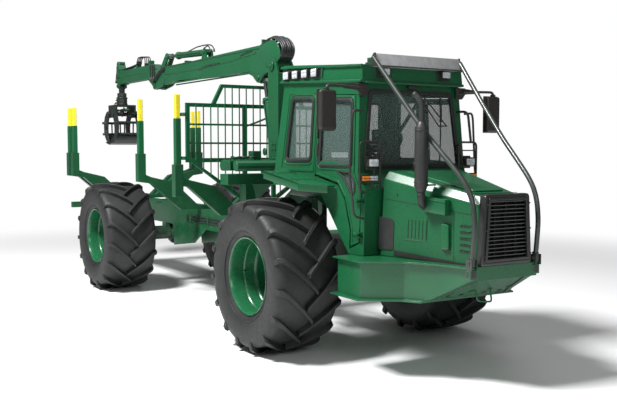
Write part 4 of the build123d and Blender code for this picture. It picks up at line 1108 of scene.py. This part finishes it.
rubber.append(placed(bentTube("screenBrace", [(0.185, 0.745, -0.05), (-0.08, 0.42, -0.05),
    (-0.345, 0.115, -0.05)], 0.017, 0.05), screen))
rubber.append(placed(bentTube("braceFoot", [(-0.3, 0.17, -0.05), (-0.345, 0.115, -0.05),
    (-0.355, 0.06, -0.05)], 0.026, 0.03), screen))
dress("screenFittings", rubber, "cab_shell", sealRubber)
back = planeFrame(*atAxle([(-0.41, 0, 1.6), (-0.41, -0.5, 1.6), (-0.3, 0, 2.62)]))
backOutline = [(-0.585, 0.251), (0.585, 0.251), (0.545, 0.864), (-0.545, 0.864)]
rideSlot(laid("backSeal", sealRings(backOutline), 0.014, back, 0.004, 0.004), bodyOf("cab_shell"),
    sealRubber)
print("cab windows done")


# mirrors, hand rails and headlamp loops
mirrorBoxes = (
    ("mirrorHousing", (0.918, 0.975), (0.89, 1.062), (2.128, 2.478), 0.024, 4),
    ("mirrorRim", (0.91, 0.926), (0.884, 1.068), (2.122, 2.484), 0.007, 3),
    ("mirrorClamp", (0.925, 0.965), (0.965, 1.005), (2.455, 2.5), 0.006),
    ("mirrorFoot", (0.868, 0.93), (0.548, 0.64), (2.486, 2.55), 0.006),
)
mirrorParts = []
for side in (1, -1):
    group = [boxPiece(name, (axleX + x[0], axleX + x[1]), *rest) for name, x, *rest in mirrorBoxes]
    arm = bentTube("mirrorArm", atAxle([(0.935, 0.6, 2.512), (0.945, 0.9, 2.52), (0.948, 0.985, 2.52),
        (0.948, 0.985, 2.4)]), 0.0125, 0.06, 4)
    plate = [(0.52, 2.44), (0.6, 2.44), (0.64, 2.49), (0.8, 2.5), (0.8, 2.53), (0.52, 2.555)]
    plate = platePiece("mirrorPlate", [roundedOutline(plate, 0.012)], 0.01, crossPlace(axleX + 0.922), 0.002)
    rail = bentTube("doorRail", atAxle([(0.96, 0.6, 2.3), (0.955, 0.7, 2.31), (0.955, 0.715, 2.25),
        (0.96, 0.745, 1.74), (1.055, 0.765, 1.37), (1.06, 0.66, 1.35)]), 0.0105, 0.05, 3)
    loopOut = (
        (0.577, 1.58), (0.464, 2.028), (0.69, 2.028), (0.69, 1.58), (0.464, 1.58), (0.464, 2.028), (0.577, 2.028),
    )
    loop = bentTube("lampLoop", [(axleX + 1.034, y, z) for y, z in loopOut], 0.0105, 0.045, 3)
    rungs = [(0.006, 1.95), (0.006, 1.66)]
    if side > 0:
        # the climbing side has a taller rail with rungs
        group.append(bentTube("tallRail", atAxle([(0.93, 0.53, 2.32), (1.05, 0.56, 2.32),
            (1.055, 0.6, 2.03)]), 0.012, 0.06))
        rungs += [(0.005, 1.72), (0.005, 1.8), (0.005, 1.88)]
    bars = [rod("rung", atAxle([(1.034, 0.464, z), (1.034, 0.69, z)]), thick, 2) for thick, z in rungs]
    stays = [rod("loopStay", atAxle([(1.034, 0.5, z), (0.93, 0.5, z)]), 0.01, 3) for z in (1.63, 2.0)]
    group += [arm, plate, rail, loop, *bars, *stays]
    for piece in group:
        mirrorParts.append(piece if side > 0 else mirrored(piece, piece.name))
        if side < 0:
            bpy.data.objects.remove(piece)
mirrorForm = dress("mirrorsAndRails", mirrorParts, "mirrors", darkPlastic)
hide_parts("mirrors")

lampParts, amberParts, shellParts, roofGreen = [], [], [], []


def lampAt(x, y, z, wide, high, facing, deep=0.05):
    # a lens with ribs in a dark shell, facing along X or Y
    out = Vector(facing)
    across = Vector((0, 1, 0)) if abs(out.x) > 0.5 else Vector((1, 0, 0))
    turn = axes(across, (0, 0, 1), out, (x, y, z))
    shell = rectangle((-wide / 2, wide / 2), (-high / 2, high / 2), 0.014)
    shellParts.append(laid("lampShell", [shell], deep, turn, -deep / 2, 0.008, 3))
    lens = rectangle((-wide / 2 + 0.004, wide / 2 - 0.004), (-high / 2 + 0.004, high / 2 - 0.004), 0.01)
    lampParts.append(laid("lampLens", [lens], 0.01, turn, 0.002, 0.004, 3))
    for i in range(3):
        u = (i - 1) * wide * 0.26
        for v in (-high * 0.2, high * 0.2):
            dot = upDrum("lampCell", u, v, (0.004, 0.011), min(wide, high) * 0.14, 12, 0.002)
            lampParts.append(placed(dot, turn))


for side in (1, -1):
    for x in (-0.212, -0.057, 0.098, 0.253):
        y = side * (0.705 - cabSide["taper"] * (x + 0.41) - cabSide["lean"] * 0.49 + 0.052)
        lampAt(axleX + x, y, 2.69, 0.098, 0.08, (cabSide["taper"], side, 0), 0.055)
        roofGreen.append(boxPiece("lampFoot", span(axleX + x, 0.012),
            span(y - side * 0.05, 0.008), (2.64, 2.665), 0.003))
    lampAt(axleX + 0.968, side * 0.36, 2.662, 0.098, 0.066, (1, 0, 0), 0.045)
    lampAt(axleX + 1.085, side * 0.572, 1.842, 0.105, 0.07, (1, 0, 0), 0.06)
    lampAt(axleX - 0.398, side * 0.45, 2.725, 0.095, 0.065, (-1, 0, 0), 0.05)
    for z in (1.716, 1.694):
        for u, parts in ((0.655, amberParts), (0.615, amberParts), (0.572, lampParts), (0.53, lampParts)):
            parts.append(boxPiece("sideLamp", (axleX + 1.05, axleX + 1.066), span(side * u, 0.018),
                span(z, 0.009), 0.003))
    shellParts.append(boxPiece("sideLampBack", (axleX + 1.03, axleX + 1.052), span(side * 0.592, 0.09),
        (1.675, 1.735), 0.006))
    shellParts.append(boxPiece("headlampBack", (axleX + 1.022, axleX + 1.036),
        span(side * 0.572, 0.045), (1.78, 1.9), 0.004))
lampForm = dress("lampLenses", lampParts, "lamps", lensWhite)
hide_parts("lamps")
dress("lampShells", shellParts, "lamps", darkPlastic)
dress("sideLamps", amberParts, "lamps", amber)

# roof: painted shade in the recess behind the side lamps and in the hollows round the front lamps, gutters and a front
# panel with its seams
roofDark = []
for side in (1, -1):
    recess = [(-0.3, 2.648), (-0.285, 2.752), (0.33, 2.728), (0.33, 2.64)]
    roofDark.append(onFlank("lampRecessShade", [roundedOutline(recess, 0.01)], 0.006, side, 0.015, 0.001))
    strips = ([(-0.345, 2.764), (-0.33, 2.786), (0.925, 2.722), (0.925, 2.7)],
        [(-0.345, 2.622), (-0.34, 2.642), (0.93, 2.582), (0.93, 2.56)])
    for strip in strips:
        roofGreen.append(onFlank("gutter", [strip], 0.022, side, 0.012, 0.004))
    roofGreen.append(onFlank("recessEnd", [[(0.335, 2.64), (0.335, 2.732), (0.352, 2.731), (0.352, 2.639)]],
        0.016, side, 0.012, 0.003))
roofFront = planeFrame(*atAxle([(0.9355, 0, 2.558), (0.9355, 0.5, 2.558), (0.9205, 0, 2.722)]))
for u in (-0.27, 0.27):
    roofDark.append(laid("roofSeam", [rectangle(span(u, 0.003), (0.02, 0.15))], 0.003, roofFront, 0.0, 0.0005))
# black hollows round the front roof lamps are painted shade
for u in (-0.36, 0.36):
    roofDark.append(laid("lampHollowShade", [rectangle(span(u, 0.075), (0.045, 0.155), 0.01)], 0.004,
        roofFront, 0.002, 0.001))
roofGreen.append(laid("roofPanel", [rectangle((-0.255, 0.255), (0.03, 0.146), 0.006)], 0.006, roofFront, 0.002, 0.002))
roofGreen.append(laid("roofLip", [rectangle((-0.56, 0.56), (-0.004, 0.014))], 0.03, roofFront, 0.008, 0.005))
dress("roofDarks", roofDark, "cab_roof", blackPaint)
dress("roofTrim", roofGreen, "cab_roof", bodyPaint)
print("cab dressing done")

# crane dressing
grappleX = -4.345
craneHoses = {"thin": 0.0085, "thick": 0.0115}


def capPair(name, spot, half, radius, bolts=0, tall=0.012):
    # a pin's head on either side, with a ring of small bolts
    parts = []
    for side in (1, -1):
        face = (side * (half + tall - 0.001), side * (half + tall + 0.006))
        parts.append(crossDrum(name, *spot, (side * half, side * (half + tall)), radius, 32))
        parts.append(crossDrum(name, *spot, face, radius * 0.42, 20, 0.002))
        for i in range(bolts):
            turn = math.tau * (i + 0.5) / bolts
            x, z = spot[0] + radius * 0.72 * math.cos(turn), spot[1] + radius * 0.72 * math.sin(turn)
            parts.append(crossDrum(name, x, z, face, radius * 0.13, 6, 0.001))
    return parts


def hoseRun(name, points, radius=craneHoses["thin"], ends=True):
    parts = [tubePiece(name, points, radius, 3, order=3)]
    if ends:
        for here, nextOne in ((points[0], points[1]), (points[-1], points[-2])):
            here, way = Vector(here), (Vector(nextOne) - Vector(here)).normalized()
            parts.append(drumPiece(name, here - way * 0.004, here + way * 0.04, radius * 1.45, 12, 0.002))
    return parts


columnParts = capPair("columnPin", (1.005, 2.925), 0.128, 0.052, 6)
columnParts += capPair("liftPin", (0.85, 1.93), 0.128, 0.046, 6)
columnParts.append(upDrum("columnFlange", 1.025, 0, (1.842, 1.866), 0.15, 48, 0.004))
for x, y in circle((1.025, 0), 0.136, 14):
    columnParts.append(upDrum("flangeBolt", x, y, (1.864, 1.878), 0.01, 6, 0.0015))
for side in (1, -1):
    for x, z in ((1.02, 1.96), (1.08, 1.96), (1.02, 2.02), (1.08, 2.02)):
        columnParts.append(crossDrum("columnBolt", x, z, (side * 0.127, side * 0.138), 0.01, 6, 0.0015))
dress("columnFittings", columnParts, "crane_column", cranePaint)

boomGreen = capPair("tipPin", (-2.665, 2.94), 0.092, 0.046, 4)
boomGreen += capPair("foldPin", (-0.975, 3.275), 0.06, 0.03)
boomGreen += capPair("liftEye", (0.607, 2.815), 0.06, 0.034)
for side in (1, -1):
    y = side * 0.0875
    boomGreen.append(rod("boomWeld", [(-2.5, y, 3.06), (-1.2, y, 3.052), (-0.2, y, 3.07), (0.55, y, 3.115)], 0.0035, 2))
    boomGreen.append(boxPiece("boomFlange", (-2.25, 0.4), span(y, 0.005), (2.906, 2.926), 0.003))
    boomGreen.append(boxPiece("boomTopFlange", (-2.3, 0.7), span(y, 0.004), (3.163, 3.178), 0.002))
for x in (-1.62, -1.02):
    boomGreen.append(boxPiece("hoseClamp", span(x, 0.018), (-0.05, 0.05), (3.165, 3.215), 0.004))
gusset = [(0.1, 2.93), (0.1, 2.905), (0.34, 2.886), (0.46, 2.845), (0.53, 2.79), (0.57, 2.762), (0.607, 2.756),
    (0.645, 2.766), (0.68, 2.8), (0.735, 2.845), (0.86, 2.872), (0.86, 2.93)]
rootPlate = [(0.62, 3.1), (0.66, 3.176), (0.78, 3.212), (0.9, 3.236), (1.0, 3.222), (1.085, 3.165), (1.135, 3.085),
    (1.14, 3.02), (1.07, 2.965), (0.96, 2.93), (0.8, 2.93)]
boomPaintedShade = []
for side in (1, -1):
    boomGreen.append(platePiece("boomGusset", [gusset], 0.018, sidePlace(side * 0.075), 0.002))
    boomGreen.append(crossDrum("gussetPin", 0.607, 2.815, (side * 0.083, side * 0.098), 0.028, 24, 0.003))
    boomGreen.append(platePiece("boomRootPlate", [rootPlate], 0.016, sidePlace(side * 0.084), 0.003))
    # dark lines in the boom's side creases are painted shade
    y = side * 0.089
    boomPaintedShade.append(tubePiece("paintedCreaseShade", [(-1.057, y, 3.038), (-0.9, y, 3.07), (-0.69, y, 3.081),
        (-0.42, y, 3.074)], 0.006, 3, order=3))
    boomPaintedShade.append(tubePiece("paintedCreaseShade", [(0.15, y, 3.118), (0.28, y, 3.146), (0.46, y, 3.152)], 0.005, 3, order=3))
boomHoses = []
for i in range(8):
    y = -0.077 + i * 0.022
    rise = 0.01 * (i % 3)
    boomHoses += hoseRun("rootHose", [
        (0.66, y, 3.194), (0.76, y, 3.228 + rise), (0.88, y, 3.262 + rise), (1.05, y, 3.24 + rise),
        (1.18, y, 3.13 + rise), (1.165, y, 3.04), (1.085, y, 2.998), (1.0, y, 2.98),
    ], craneHoses["thick"], False)
foldHoses = hoseRun("foldHose", [(-1.64, 0.02, 3.345), (-1.45, 0.022, 3.38), (-1.18, 0.024, 3.388),
    (-0.92, 0.02, 3.375), (-0.82, 0.018, 3.325), (-0.8, 0.016, 3.27)])
foldHoses += hoseRun("foldHose", [(-1.05, -0.02, 3.322), (-0.95, -0.024, 3.362), (-0.86, -0.024, 3.335),
    (-0.83, -0.02, 3.265)])
dress("foldHoses", foldHoses, "fold_barrel", hoseRubber)
for y in (-0.045, -0.015, 0.015, 0.045):
    boomHoses += hoseRun("topHose", [(-0.64, y, 3.178), (-0.3, y, 3.186), (0.2, y, 3.186),
        (0.64, y, 3.194)], ends=False)
dress("boomFittings", boomGreen, "boom", cranePaint)
dress("paintedCreaseShades", boomPaintedShade, "boom", blackPaint)
dress("boomHoses", boomHoses, "boom", hoseRubber)
clampParts = [boxPiece("rootClamp", (0.7, 0.722), (-0.092, 0.092), (3.18, 3.262), 0.004),
    boxPiece("rootRail", (0.6, 0.76), (-0.09, 0.09), (3.172, 3.186), 0.003)]
dress("hoseClamps", clampParts, "boom", cranePaint)

# stick: bolted collar, seams, the V of hoses at its root and the bunch on its top
stickGreen = capPair("foldEyePin", (-2.29, 3.32), 0.056, 0.026)
for side in (1, -1):
    y = side * 0.0665
    stickGreen.append(rod("stickWeld", [(-4.2, y, 3.155), (-3.02, y, 3.16)], 0.003, 2))
    stickGreen.append(boxPiece("stickCollar", (-4.225, -4.185), span(y, 0.006), (3.046, 3.264), 0.003))
    for z in (3.075, 3.155, 3.235):
        stickGreen.append(crossDrum("collarBolt", -4.205, z, (side * 0.066, side * 0.082), 0.009, 6, 0.0015))
for z in (3.043, 3.262):
    stickGreen.append(boxPiece("stickBand", (-4.225, -4.185), (-0.072, 0.072), (z - 0.006, z + 0.008), 0.003))
for x, high in (((-3.02, -2.985), 3.335), ((-3.565, -3.535), 3.33)):
    stickGreen.append(boxPiece("hosePost", x, (-0.045, 0.045), (3.258, high), 0.005))
stickDark = []
for i in range(3):
    y = -0.084 - i * 0.022
    stickDark += hoseRun("rootHoseV", [
        (-2.7 - i * 0.022, y, 3.24), (-2.715 - i * 0.02, y, 3.12), (-2.715 - i * 0.012, y, 3.035 - i * 0.01),
        (-2.66, y, 2.992 - i * 0.01), (-2.56, y, 3.035), (-2.4, y, 3.115), (-2.26, y * 0.9, 3.165),
    ], craneHoses["thick"])
for i in range(4):
    y = -0.036 + i * 0.024
    stickDark += hoseRun("stickLoop", [
        (-3.52 - i * 0.004, y, 3.325), (-3.5, y, 3.415), (-3.4, y, 3.418), (-3.215 + i * 0.016, y, 3.414),
        (-3.17 + i * 0.016, y, 3.35), (-3.175, y, 3.27),
    ])
    stickDark += hoseRun("stickRun", [(-3.53, y, 3.318), (-3.75, y, 3.3), (-4.0, y, 3.292),
        (-4.18, y, 3.285)], ends=False)
dress("stickFittings", stickGreen, "stick", cranePaint)
dress("stickHoses", stickDark, "stick", hoseRubber)

# head of the extension, with the hoses that hang beside the rotator
headGreen = capPair("headPin", (grappleX, 3.02), 0.07, 0.034, 4)
for side in (1, -1):
    for x, z in ((-4.31, 3.13), (-4.37, 3.13), (-4.31, 3.22), (-4.375, 3.22), (-4.36, 3.31), (-4.31, 3.28)):
        headGreen.append(crossDrum("headBolt", x, z, (side * 0.064, side * 0.075), 0.0095, 6, 0.0015))
    headGreen.append(boxPiece("headRib", (-4.405, -4.29), span(side * 0.07, 0.006), (3.165, 3.178), 0.003))
headGreen.append(boxPiece("headTop", (-4.385, -4.315), (-0.04, 0.04), (3.385, 3.424), 0.006))
headDark = []
for i, y in enumerate((-0.06, -0.04, 0.04, 0.06)):
    headDark += hoseRun("headHose", [(-4.395, y, 3.345), (-4.405 - 0.01 * i, y, 3.28),
        (-4.408 - 0.003 * i, y * 1.2, 3.18), (-4.418, y * 1.25, 3.1), (-4.424, y * 1.25, 3.075)])
dress("headFittings", headGreen, "extension", cranePaint)
dress("headHoses", headDark, "extension", hoseRubber)

# rotator: rings, bolts, ports and short hoses down to the jaws' ram
rotor = [
    upDrum("rotorRing", grappleX, 0, (2.7, 2.722), 0.094, 40, 0.004),
    upDrum("rotorRing", grappleX, 0, (2.808, 2.828), 0.094, 40, 0.004),
    upDrum("rotorNeck", grappleX, 0, (2.826, 2.836), 0.07, 40, 0.002),
]
for x, y in circle((grappleX, 0), 0.08, 10):
    rotor.append(upDrum("rotorBolt", x, y, (2.69, 2.7), 0.009, 6, 0.0015))
for y, z in ((-0.06, 2.742), (-0.06, 2.785), (0.06, 2.742), (0.06, 2.785)):
    rotor.append(drumPiece("rotorPort", (grappleX - 0.065, y, z), (grappleX - 0.12, y, z), 0.014, 6, 0.002))
for side in (-1, 1):
    route = ((-4.462, 0.06, 2.742), (-4.5, 0.064, 2.735), (-4.52, 0.075, 2.705), (-4.52, 0.1, 2.66), (-4.5, 0.12, 2.6))
    rotor += hoseRun("rotorHose", [(x, side * y, z) for x, y, z in route])
for side in (1, -1):
    for x in (-0.13, 0.13):
        rotor.append(crossDrum("jawPinCap", grappleX + x, 2.545, (side * 0.205, side * 0.222), 0.04, 24, 0.003))
dress("rotatorFittings", rotor, "grapple_frame", grapplePaint)

# jaws
jawPlate = [
    (0.096, 2.515), (0.092, 2.56), (0.115, 2.588), (0.165, 2.596), (0.215, 2.578), (0.3, 2.508), (0.345, 2.4),
    (0.35, 2.33), (0.338, 2.23), (0.3, 2.16), (0.245, 2.108), (0.15, 2.062), (0.01, 2.031), (0.01, 2.046),
    (0.09, 2.09), (0.14, 2.14), (0.17, 2.21), (0.178, 2.3), (0.165, 2.38), (0.14, 2.45),
]
jawParts = []
for side in (1, -1):
    hole = circle((0.215, 2.3), 0.026, 20, 0.045)
    jawParts.append(platePiece("jawPlate", [jawPlate, hole], 0.024, sidePlace(side * 0.193), 0.003))
    jawParts.append(platePiece("jawBoss", [circle((0.13, 2.545), 0.042, 24)], 0.0235, sidePlace(side * 0.1935), 0.003))
    jawParts.append(platePiece("jawEar", [[(0.094, 2.52), (0.09, 2.56), (0.17, 2.632), (0.2, 2.639), (0.225, 2.622),
        (0.222, 2.6), (0.17, 2.53), (0.13, 2.505)]], 0.018, sidePlace(side * 0.045), 0.002))
jawParts.append(crossDrum("jawShaft", 0.13, 2.545, (-0.215, 0.215), 0.0295, 24, 0.003))
jawParts += [crossDrum("jawBar", x, z, (-0.24, 0.24), 0.021, 20, 0.003) for x, z in ((0.318, 2.4), (0.3, 2.21))]
for y in (-0.075, 0.075):
    jawParts.append(platePiece("jawRib", [[(0.318, 2.415), (0.334, 2.4), (0.318, 2.21), (0.255, 2.118), (0.24, 2.126),
        (0.292, 2.215), (0.3, 2.4)]], 0.016, sidePlace(y), 0.002))
jawParts.append(platePiece("jawBeam", [[(0.15, 2.064), (0.245, 2.11), (0.3, 2.162), (0.292, 2.196), (0.27, 2.18),
    (0.225, 2.13), (0.145, 2.086)]], 0.39, sidePlace(), 0.004))
jawParts.append(platePiece("jawLip", [[(0.01, 2.03), (0.155, 2.063), (0.155, 2.082), (0.01, 2.045)]],
    0.48, sidePlace(), 0.003))
jawLocal = joined("jawLocal", jawParts)
jawA = copyPiece(jawLocal, "jawAForm", Matrix.Translation((grappleX, 0, 0)))
jawB = copyPiece(jawLocal, "jawBForm", Matrix.Translation((grappleX, 0, 0)) @ Matrix.Rotation(math.pi, 4, "Z"))
bpy.data.objects.remove(jawLocal)
ramPin = crossDrum("ramPin", -4.145, 2.612, (-0.056, 0.056), 0.014, 20, 0.002)
jawA = joined("jawAForm", [jawA, ramPin])
for jaw, node in ((jawA, "jaw_a"), (jawB, "jaw_b")):
    rideSlot(jaw, bodyOf(node), grapplePaint)
    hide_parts(node)

# cylinder ends: gland rings, ports and side pipes
def cylinderEnds(name, rings, foot, way, pipe, off):
    # rings of (start, end, radius, edge) along a barrel, and the pipe beside it
    parts = [drumPiece(name, foot + way * a, foot + way * b, radius, 36, edge) for a, b, radius, edge in rings]
    return parts + [rod(name, [foot + way * u + Vector(off) for u in pipe[:2]], pipe[2])]


liftRings = ((0.628, 0.663, 0.062, 0.004), (0.6, 0.612, 0.056, 0.003), (0.082, 0.102, 0.056, 0.003))
foldRings = ((0.945, 0.983, 0.055, 0.004), (0.905, 0.918, 0.05, 0.003), (0.082, 0.106, 0.05, 0.003))
liftWay, foldWay = Vector((-0.250383, 0, 0.968147)), Vector((-0.999106, 0, 0.04227))
liftParts = cylinderEnds("lift", liftRings, Vector((0.85, 0, 1.93)), liftWay, (0.12, 0.62, 0.009), (0, -0.06, 0))
liftParts.append(boxPiece("liftPort", (0.68, 0.712), (-0.072, -0.048), (2.5, 2.54), 0.004))
dress("liftCylinderParts", liftParts, "lift_barrel", cranePaint)
foldParts = cylinderEnds("fold", foldRings, Vector((-0.975, 0, 3.275)), foldWay, (0.14, 0.91, 0.007), (0, -0.05, 0.006))
dress("foldCylinderParts", foldParts, "fold_barrel", cranePaint)
print("crane done")

# stakes, headboard and load bed
stakeSizes = {"xs": (0.405, -0.775, -3.575, -3.805), "y": 1.055, "half": 0.036, "top": 2.6, "paint": 2.32,
    "low": (1.565, 1.685, 1.685, 1.685), "sleeve": 0.047}
stakeParts, sleeveGreen, sleevePaintedShade = [], [], []
h, sleeve = stakeSizes["half"], stakeSizes["sleeve"]
for x, low in zip(stakeSizes["xs"], stakeSizes["low"]):
    for side in (1, -1):
        y, high = side * stakeSizes["y"], low + 0.215
        stakeParts.append(boxPiece("stakePost", span(x, h), span(y, h), (low, stakeSizes["paint"]), 0.009, 3))
        stakeParts.append(boxPiece("stakeTip", span(x, h * 0.8), span(y, h * 0.8),
            (stakeSizes["paint"] - 0.004, stakeSizes["top"] - 0.001), 0.008, 3))
        band = [(c - sleeve - 0.004, c + sleeve + 0.004) for c in (x, y)]
        sleeveGreen.append(boxPiece("sleeveBand", *band, (high - 0.004, high + 0.002), 0.002))
        # dark discs in the sleeve's pin holes are painted shade
        for z in (low + 0.03, low + 0.15):
            sleevePaintedShade.append(drumPiece("sleeveShadeDot", (x, y, z), (x + sleeve + 0.0015, y, z), 0.01, 16, 0.0005))
            sleeveGreen.append(crossDrum("sleeveBolt", x, z, (y - sleeve, y - sleeve - 0.009), 0.012, 6, 0.002))
stakeForm = dress("stakePosts", stakeParts, "stakes", stakePaint)
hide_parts("stakes")
dress("sleeveFittings", sleeveGreen, "bunks", framePaint)
dress("sleeveShadeDots", sleevePaintedShade, "bunks", blackPaint)

boardGreen = []
boardX = 0.486
for step in range(-8, 9):
    y = step * 0.095
    if abs(y) < 0.25:
        continue
    strutZ = 1.38 + (abs(y) - 0.225) * 0.47 / 0.75
    if strutZ < 1.8:
        boardGreen.append(boxPiece("boardBar", (boardX, boardX + 0.012), span(y, 0.006),
            (strutZ - 0.01, 1.832), 0.002, 1))
for side in (1, -1):
    for z in (1.856, 2.366):
        boardGreen.append(drumPiece("boardBolt", (0.425, side, z), (0.505, side, z), 0.01, 6, 0.0015))
    for z in (2.477, 2.251, 2.031, 1.83):
        for y in (0.952, 0.2):
            boardGreen.append(boxPiece("boardWeld", (0.4635, 0.4695), span(side * y, 0.027), span(z, 0.018), 0.002))
boardGreen.append(bentTube("boardBrace", [(0.486, -0.205, 2.232), (0.492, -0.03, 2.292),
    (0.486, 0.185, 2.372)], 0.012, 0.05))
dress("boardFittings", boardGreen, "headboard", framePaint)

# swing gear at the crane's foot: ribbed covers, hose rings and a valve box
gearGreen, gearDark = [], []
for side in (1, -1):
    for i in range(9):
        y = side * (0.3 + i * 0.05)
        gearGreen.append(boxPiece("gearRib", (0.88, 1.075), span(y, 0.008), (1.718, 1.842), 0.004))
    gearGreen.append(boxPiece("gearBlock", (0.9, 1.055), span(side * 0.5, 0.215), (1.722, 1.834), 0.01))
for y in (-0.49, -0.4, -0.58):
    ring = [(0.98 + 0.075 * math.cos(math.tau * i / 14), y + 0.055 * math.sin(math.tau * i / 14),
        1.868 + 0.006 * math.sin(i)) for i in range(14)]
    gearDark.append(tubePiece("hoseRing", ring, 0.0085, 3, True, order=3))
gearGreen.append(boxPiece("valveBox", (0.93, 1.05), (-0.4, -0.29), (1.834, 1.94), 0.006))
for i in range(5):
    y0 = -0.1 + 0.05 * i
    gearDark.append(tubePiece("jointHose", [
        (1.3, y0, 1.175), (1.42, y0, 1.24 + 0.01 * i), (1.6, y0 * 0.9, 1.25 + 0.01 * i), (1.72, y0 * 0.7, 1.2),
        (1.8, y0 * 0.5, 1.13),
    ], 0.012, 3, order=3))
dress("swingGear", gearGreen, "crane_base", framePaint)
dress("swingHoses", gearDark, "crane_base", hoseRubber)

# beam dressing: pipes with their clamps and welded stiffeners
beamGreen, beamDark = [], []
for side in (1, -1):
    for x in (0.1, -0.45, -1.25, -2.35, -2.95, -3.6):
        beamGreen.append(boxPiece("beamStiffener", span(x, 0.006), span(side * 0.17, 0.05), (1.158, 1.176), 0.002))
    for i in range(3):
        z = 0.98 + i * 0.035
        beamDark.append(rod("beamPipe", [(0.6, side * 0.232, z), (-0.1, side * 0.236, z),
            (-1.2, side * 0.236, z)], 0.008))
    for x in (0.5, 0.05, -0.5, -1.05):
        beamGreen.append(boxPiece("pipeClamp", span(x, 0.014), span(side * 0.236, 0.014), (0.965, 1.065), 0.004))
dress("beamFittings", beamGreen, "rear_frame", framePaint)
dress("beamPipes", beamDark, "rear_frame", hoseRubber)

# fenders: flat shelves with a lip, a wheel wall, seams and screws
fenderGreen, fenderDark = [], []
shelf = {"rear": -0.16, "start": -0.1, "end": 0.64, "corner": 0.5, "inner": 0.69, "outer": 1.0, "high": 1.742,
    "low": 1.632, "lip": 0.075, "thick": 0.018}
shelfSlope = (shelf["high"] - shelf["low"]) / (shelf["end"] - shelf["start"])


def shelfHeight(x):
    return shelf["high"] - (x - shelf["start"]) * shelfSlope


for side in (1, -1):
    origin = (axleX + shelf["start"], side * shelf["inner"], shelf["high"])
    shelfFrame = planeFrame(origin, (axleX + shelf["end"], side * shelf["inner"], shelf["low"]),
        (origin[0], side * shelf["outer"], origin[2]), 0.0, side)
    stretch = math.sqrt(1 + shelfSlope ** 2)
    wide = shelf["outer"] - shelf["inner"]
    tail, corner, tip = [(shelf[k] - shelf["start"]) * stretch for k in ("rear", "corner", "end")]
    top = [(tail, 0), (tip, 0), (tip, 0.085), (corner, wide), (tail, wide)]
    fenderGreen.append(laid("fenderShelf", [top], shelf["thick"], shelfFrame, -shelf["thick"] / 2))
    drop = shelf["lip"]
    edge = [(x, shelfHeight(x)) for x in (shelf["rear"], shelf["corner"])]
    lip = [(axleX + x, z) for x, z in edge] + [(axleX + x, z - drop) for x, z in reversed(edge)]
    fenderGreen.append(platePiece("fenderLip", [lip], 0.014, sidePlace(side * (shelf["outer"] - 0.007)), 0.003))
    turn = Vector((shelf["end"] - shelf["corner"], -side * (wide - 0.085), 0))
    ends = (shelfHeight(shelf["corner"]), shelfHeight(shelf["end"]))
    along, length = turn.normalized(), turn.length
    across = along.cross(Vector((0, 0, 1)))
    start = (axleX + shelf["corner"], side * (shelf["outer"] - 0.006), 0)
    place = axes(along, (0, 0, 1), across, start)
    fenderGreen.append(platePiece("fenderCorner", [[(0, ends[0] - drop), (length, ends[1] - drop), (length, ends[1]),
        (0, ends[0])]], 0.012, place, 0.002))
    rearX = axleX + shelf["rear"]
    high = shelfHeight(shelf["rear"])
    wall = [(axleX + x, z) for x, z in ((-0.3, 1.6), (0.62, 1.6), (0.88, 1.22), (0.9, 1.0), (0.8, 1.0), (0.62, 1.3),
        (0.2, 1.48), (-0.3, 1.5))]
    fenderGreen.append(platePiece("wheelWall", [wall], 0.01, sidePlace(side * 0.6), 0.002))
    fenderGreen.append(boxPiece("fenderEnd", (rearX, rearX + 0.012), (side * shelf["inner"], side * shelf["outer"]),
        (high - drop, high - 0.001), 0.003))
    for x in (-0.02, 0.34):
        z = shelfHeight(x)
        fenderDark.append(rod("fenderSeam", atAxle([(x, side * 0.7, z + 0.001),
            (x, side * 0.985, z + 0.001)]), 0.0025, 2))
    for x in (-0.07, 0.03, 0.29, 0.39, 0.46):
        for y in (0.74, 0.94):
            z = shelfHeight(x)
            fenderDark.append(upDrum("fenderScrew", axleX + x, side * y, (z - 0.003, z + 0.004), 0.008, 12, 0.001))
fenderForm = dress("fenderShelves", fenderGreen, "fenders", bodyPaint)
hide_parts("fenders")
dress("fenderSeams", fenderDark, "fenders", blackPaint)
print("bed and fenders done")


print("scene ready")
